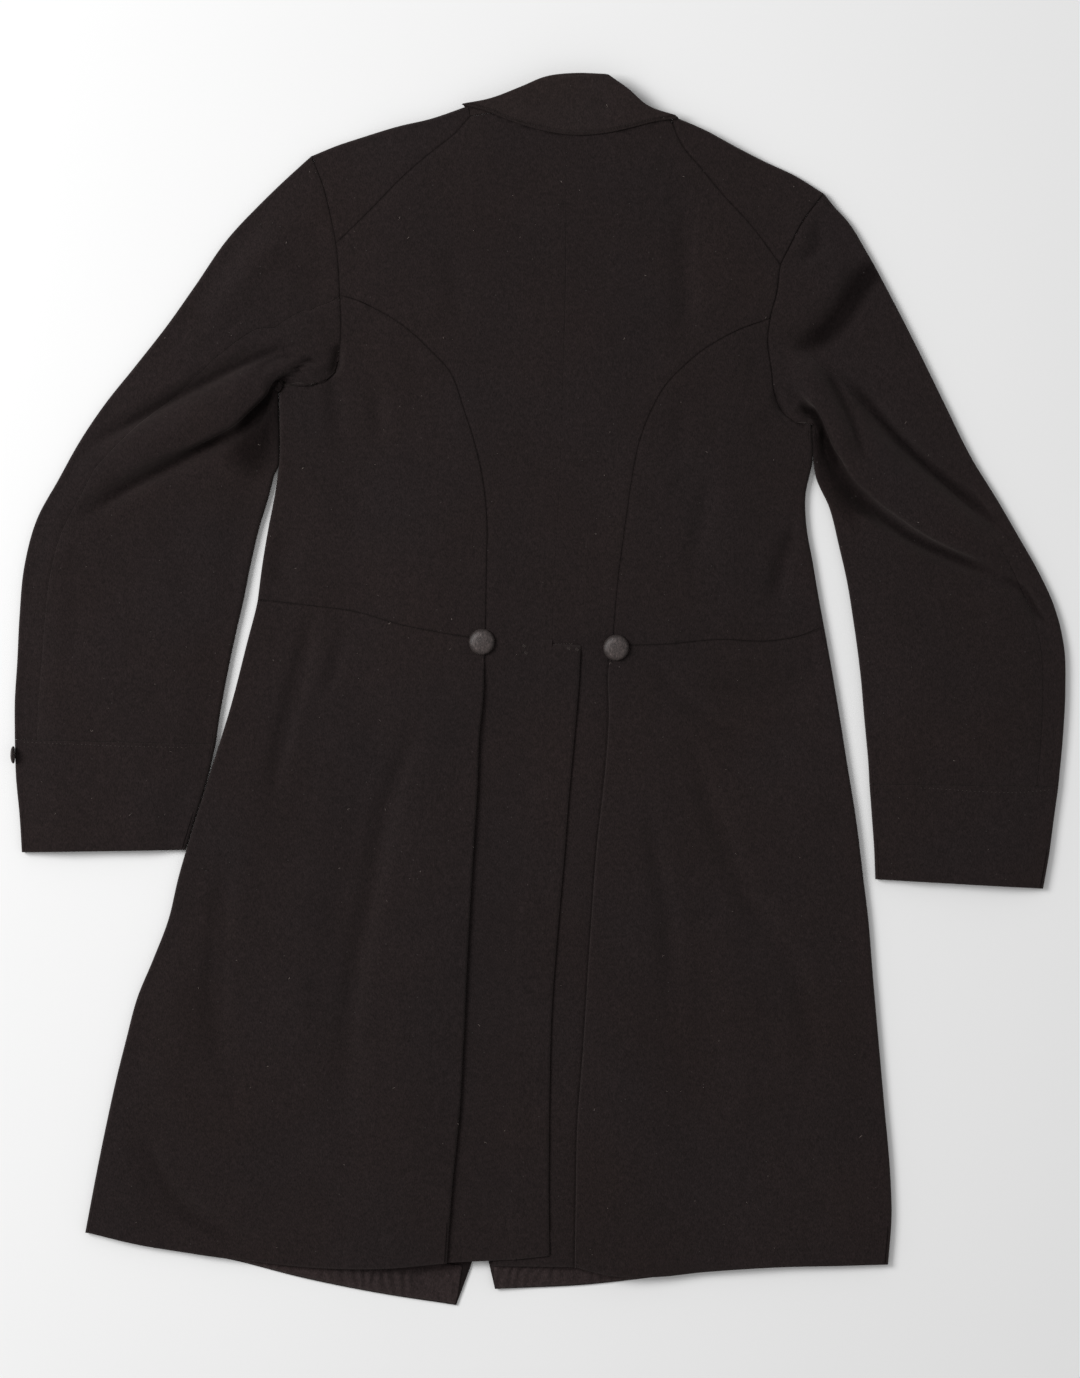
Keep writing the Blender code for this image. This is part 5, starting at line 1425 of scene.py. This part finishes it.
def brushed_wool(tree, place, threads):
    """Brushed wool: short fibres over a fine weave."""
    threaded = scaled(tree, place, threads)
    tilted = node(tree, "Mapping", {"Vector": threaded, "Rotation": (0.0, 0.0, 0.6),
                                    "Scale": (1.0, 0.45, 1.0)})
    fibres = noise(tree, tilted.outputs["Vector"], 1.0, 3.0, 0.65)
    weave = node(tree, "TexWave", {"Vector": threaded, "Scale": 0.42, "Distortion": 1.6, "Detail": 1.0},
                 wave_type="BANDS", bands_direction="DIAGONAL").outputs["Fac"]
    coarse = noise(tree, place, 260.0, 3.0, 0.6)
    shade = maths(tree, "MULTIPLY", to_range(tree, fibres, 0.50, 1.56),
                  to_range(tree, coarse, 0.80, 1.20))
    height = maths(tree, "ADD", fibres, maths(tree, "MULTIPLY", weave, 0.35))
    return {"Shade": maths(tree, "MULTIPLY", shade, to_range(tree, weave, 0.96, 1.04, 0.0, 1.0)),
            "Height": maths(tree, "ADD", height, maths(tree, "MULTIPLY", coarse, 0.8))}


def uneven_tone(tree, place):
    """Tone and warmth that drift over the cloth, with slightly rubbed patches."""
    wide = to_range(tree, noise(tree, place, 6.0, 3.0), 0.93, 1.07)
    small = to_range(tree, noise(tree, place, 38.0, 4.0, 0.6), 0.95, 1.05)
    return {"Tone": maths(tree, "MULTIPLY", wide, small),
            "Warmth": to_range(tree, noise(tree, place, 9.0, 2.0), 0.0, 1.0)}


DUST_CELLS, BARE_SHARE = 300.0, 0.975


def dust_specks(tree, place):
    """Sparse pale dust specks."""
    cells = node(tree, "TexVoronoi", {"Vector": place, "Scale": DUST_CELLS}).outputs
    speck = to_range(tree, cells["Distance"], 1.0, 0.0, 0.10, 0.16)
    chosen = node(tree, "SeparateColor", {"Color": cells["Color"]}).outputs["Red"]
    return {"Mask": maths(tree, "MULTIPLY", speck, maths(tree, "GREATER_THAN", chosen, BARE_SHARE))}


def use(tree, build, place, **values):
    """Outputs of a shader group, which is made when it is first used."""
    made = bpy.data.node_groups.get(build.__name__)
    if made is None:
        made = bpy.data.node_groups.new(build.__name__, "ShaderNodeTree")
        made.interface.new_socket("place", in_out="INPUT", socket_type="NodeSocketVector")
        for name in values:
            made.interface.new_socket(name, in_out="INPUT", socket_type="NodeSocketFloat")
        start = made.nodes.new("NodeGroupInput").outputs
        results = build(made, start["place"], **{name: start[name] for name in values})
        for name in results:
            made.interface.new_socket(name, in_out="OUTPUT", socket_type="NodeSocketFloat")
        feed(made, made.nodes.new("NodeGroupOutput"), results)
    return node(tree, "Group", {"place": place, **values}, node_tree=made).outputs


def blank_material(name):
    """A new material with its node tree, its shader and the place on the piece."""
    made = bpy.data.materials.new(name)
    made.use_nodes = True
    tree = made.node_tree
    tree.nodes.clear()
    shader = tree.nodes.new("ShaderNodeBsdfPrincipled")
    node(tree, "OutputMaterial", {"Surface": shader.outputs["BSDF"]})
    return made, tree, shader, tree.nodes.new("ShaderNodeTexCoord").outputs["Object"]


def plain_material(name, colour, tone, rough, gleam):
    """A dull material in one colour; tone makes its drift over the piece."""
    made, tree, shader, place = blank_material(name)
    feed(tree, shader, {"Base Color": scaled(tree, colour, tone(tree, place)), "Roughness": rough,
                        "Specular IOR Level": gleam})
    return made


# Name, threads a metre, depth of the nap, roughness, fuzz, gleam, contrast of the nap
CLOTH_LOOKS = {
    "wool": ("black wool", 1100.0, 0.00025, 0.95, 0.10, 0.085, 1.0),
    # The hem's wool is the panels' wool with painted light; its colour is raised by the hem tone
    "hem_wool": ("hem of black wool", 1100.0, 0.00025, 0.95, 0.10, 0.085, 1.0),
    "collar_wool": ("collar wool", 1200.0, 0.00022, 0.92, 0.12, 0.085, 1.0),
    "button_cloth": ("button cover", 1000.0, 0.0003, 0.42, 0.15, 0.4, 1.5),
}
DUST_COLOUR = (0.10, 0.09, 0.085, 1.0)
FUZZ_TINT = (0.8, 0.68, 0.64, 1.0)
FUZZ_ROUGHNESS, NAP_STRENGTH, DUST_STRENGTH = 0.6, 0.7, 0.35


def cloth_material(slot):
    """Dull brushed wool for the coat and a tighter cloth for the buttons."""
    name, threads, depth, rough, fuzz, gleam, contrast = CLOTH_LOOKS[slot]
    if name in bpy.data.materials:
        return bpy.data.materials[name]
    made, tree, shader, place = blank_material(name)
    colour = {"collar_wool": look().collar_wool, "button_cloth": look().button}.get(slot, look().wool)
    # Painted light: the turned hem's colour is raised by the hem tone
    red, green, blue = (c * (look().hem_painted_light if slot == "hem_wool" else 1.0) for c in colour)
    nap = use(tree, brushed_wool, place, threads=threads)
    drift = use(tree, uneven_tone, place)
    dust = use(tree, dust_specks, place)["Mask"]
    warm = mixed(tree, drift["Warmth"], (red * 0.97, green, blue * 1.03, 1.0),
                 (red * 1.04, green * 0.99, blue * 0.96, 1.0))
    # Painted shade from the mesh attribute darkens the colour, gleam and sheen in creases, along seams
    # and at button rims
    painted_shade = node(tree, "Attribute", {}, attribute_name="painted_shade").outputs["Fac"]
    painted_shade_factor = to_range(tree, painted_shade, 1.0, look().painted_shade_tone, 0.1, 0.75)
    shade = maths(tree, "MULTIPLY", maths(tree, "POWER", nap["Shade"], contrast), drift["Tone"])
    shaded = scaled(tree, warm, maths(tree, "MULTIPLY", shade, painted_shade_factor))
    bump = node(tree, "Bump", {"Height": nap["Height"], "Strength": NAP_STRENGTH, "Distance": depth})
    feed(tree, shader, {
        "Base Color": mixed(tree, maths(tree, "MULTIPLY", dust, DUST_STRENGTH), shaded, DUST_COLOUR),
        "Normal": bump.outputs["Normal"], "Roughness": rough,
        "Specular IOR Level": maths(tree, "MULTIPLY", painted_shade_factor, gleam),
        "Sheen Weight": maths(tree, "MULTIPLY", painted_shade_factor, fuzz * look().fuzz),
        "Sheen Roughness": FUZZ_ROUGHNESS, "Sheen Tint": FUZZ_TINT})
    return made


def thread_material(name, strength=1.0):
    if name in bpy.data.materials:
        return bpy.data.materials[name]
    return plain_material(name, [c * strength for c in look().thread],
                          lambda tree, place: use(tree, uneven_tone, place)["Tone"], 0.85, 0.2)


# Stage

class CoatStage(bpy.types.PropertyGroup):
    """Light and surface round the coat."""

    key_power: FloatProperty(
        name="Key light", description="Power of the large light beyond the collar", default=99.0,
        min=0.0, subtype="POWER", unit="POWER")
    fill: FloatProperty(
        name="Fill", description="Strength of the even light from all round", default=0.46, min=0.0,
        max=3.0)
    surface: FloatVectorProperty(
        name="Surface colour", description="Colour of the surface that the coat lies on", size=3,
        subtype="COLOR", default=(0.90, 0.90, 0.90), min=0.0, max=1.0)
    floor_size: FloatProperty(
        name="Surface size", description="Side of the square surface", default=12.0, min=2.0,
        subtype="DISTANCE", unit="LENGTH")
    camera_height: FloatProperty(
        name="Camera height", description="Height of the camera over the surface", default=3.264,
        min=1.0, subtype="DISTANCE", unit="LENGTH")


SURFACE_Z = -0.0003
KEY_PLACE, KEY_SIZE = (-2.5, 0.9, 2.4), 1.6
CAMERA_X, CAMERA_Y = 0.00087, 0.00078
LENS, SENSOR = 100.0, 36.0


def stage():
    """Pale surface, one large soft light beyond the collar, even fill and the camera straight above."""
    scene = bpy.context.scene
    setting = scene.coat_stage

    def placed(name, data, place=(0.0, 0.0, 0.0)):
        piece = bpy.data.objects.new(name, data)
        piece.location = place
        scene.collection.objects.link(piece)
        return piece

    mesh = bpy.data.meshes.new("surface")
    half = setting.floor_size / 2
    mesh.from_pydata([(x * half, y * half, SURFACE_Z) for x, y in ((-1, -1), (1, -1), (1, 1), (-1, 1))],
                     [], [(0, 1, 2, 3)])
    mesh.materials.append(plain_material(
        "pale surface", setting.surface,
        lambda tree, place: to_range(tree, noise(tree, place, 1.5), 0.985, 1.0), 0.9, 0.1))
    placed("surface", mesh)

    key = bpy.data.lights.new("key", "AREA")
    key.energy, key.size = setting.key_power, KEY_SIZE
    lamp = placed("key", key, KEY_PLACE)
    lamp.rotation_euler = (-lamp.location).to_track_quat("-Z", "Y").to_euler()
    world = bpy.data.worlds.new("even light")
    world.use_nodes = True
    feed(world.node_tree, world.node_tree.nodes["Background"],
         {"Color": (1.0, 1.0, 1.0, 1.0), "Strength": setting.fill})
    scene.world = world
    scene.view_settings.view_transform = "Standard"

    camera = bpy.data.cameras.new("camera")
    camera.lens, camera.sensor_width = LENS, SENSOR
    scene.camera = placed("camera", camera, (CAMERA_X, CAMERA_Y, setting.camera_height))


# Operators and panel

def done(lay, sides=()):
    """Lay a piece, or one on each side, for an operator."""
    for side in sides:
        lay(side)
    if not sides:
        lay()
    return {"FINISHED"}


class COAT_OT_backs(bpy.types.Operator):
    """Lay both halves of the back with their tails and the vent"""
    bl_idname = "coat.backs"
    bl_label = "Backs"

    def execute(self, context):
        return done(back, SIGN)


class COAT_OT_sides(bpy.types.Operator):
    """Lay both side bodies"""
    bl_idname = "coat.sides"
    bl_label = "Side bodies"

    def execute(self, context):
        return done(side_body, SIGN)


class COAT_OT_foreparts(bpy.types.Operator):
    """Lay both foreparts, which turn over the shoulders to the underside"""
    bl_idname = "coat.foreparts"
    bl_label = "Foreparts"

    def execute(self, context):
        return done(forepart, SIGN)


class COAT_OT_skirts(bpy.types.Operator):
    """Lay both skirts with their pleats, folds and turned front hems"""
    bl_idname = "coat.skirts"
    bl_label = "Skirts"

    def execute(self, context):
        return done(skirt, SIGN)


class COAT_OT_sleeves(bpy.types.Operator):
    """Lay both sleeves, each of a top sleeve and an under sleeve"""
    bl_idname = "coat.sleeves"
    bl_label = "Sleeves"

    def execute(self, context):
        return done(sleeve, SIGN)


class COAT_OT_cuffs(bpy.types.Operator):
    """Lay both cuffs"""
    bl_idname = "coat.cuffs"
    bl_label = "Cuffs"

    def execute(self, context):
        return done(cuff, SIGN)


class COAT_OT_lapels(bpy.types.Operator):
    """Lay the lapels and the collar's front leaves under the fronts"""
    bl_idname = "coat.lapels"
    bl_label = "Lapels and collar leaves"

    def execute(self, context):
        return done(lapels, SIGN)


class COAT_OT_collar(bpy.types.Operator):
    """Turn the collar over the neck"""
    bl_idname = "coat.collar"
    bl_label = "Collar"

    def execute(self, context):
        return done(collar)


class COAT_OT_buttons(bpy.types.Operator):
    """Place the covered buttons"""
    bl_idname = "coat.buttons"
    bl_label = "Buttons"

    def execute(self, context):
        return done(all_buttons)


class COAT_OT_stitches(bpy.types.Operator):
    """Sew the rows of stitches that show and the buttonholes"""
    bl_idname = "coat.stitches"
    bl_label = "Stitches"

    def execute(self, context):
        return done(stitching)


class COAT_OT_lint(bpy.types.Operator):
    """Scatter a few loose fibres on the cloth"""
    bl_idname = "coat.lint"
    bl_label = "Lint"

    def execute(self, context):
        return done(lint)


class COAT_OT_stage(bpy.types.Operator):
    """Set up the surface, the light and the camera"""
    bl_idname = "coat.stage"
    bl_label = "Stage"

    def execute(self, context):
        return done(stage)


OPERATORS = (COAT_OT_backs, COAT_OT_sides, COAT_OT_foreparts, COAT_OT_skirts, COAT_OT_sleeves,
             COAT_OT_cuffs, COAT_OT_lapels, COAT_OT_collar, COAT_OT_buttons, COAT_OT_stitches,
             COAT_OT_lint, COAT_OT_stage)


class COAT_PT_sidebar(bpy.types.Panel):
    """The coat's settings and pieces"""
    bl_label = "Laid coat"
    bl_idname = "COAT_PT_sidebar"
    bl_space_type = "VIEW_3D"
    bl_region_type = "UI"
    bl_category = "Coat"

    def draw(self, context):
        for setting in (context.scene.coat_look, context.scene.coat_stage):
            for name in setting.__annotations__:
                self.layout.prop(setting, name)
        for kind in OPERATORS:
            self.layout.operator(kind.bl_idname)


CLASSES = (CoatLook, CoatStage) + OPERATORS + (COAT_PT_sidebar,)


def register():
    for kind in CLASSES:
        bpy.utils.register_class(kind)
    bpy.types.Scene.coat_look = PointerProperty(type=CoatLook)
    bpy.types.Scene.coat_stage = PointerProperty(type=CoatStage)


def unregister():
    del bpy.types.Scene.coat_stage
    del bpy.types.Scene.coat_look
    for kind in reversed(CLASSES):
        bpy.utils.unregister_class(kind)


def main():
    register()
    bpy.ops.coat.backs()
    bpy.ops.coat.sides()
    bpy.ops.coat.foreparts()
    bpy.ops.coat.skirts()
    bpy.ops.coat.sleeves()
    bpy.ops.coat.cuffs()
    bpy.ops.coat.lapels()
    bpy.ops.coat.collar()
    bpy.ops.coat.buttons()
    bpy.ops.coat.stitches()
    bpy.ops.coat.lint()
    bpy.ops.coat.stage()


if __name__ == "__main__":
    main()
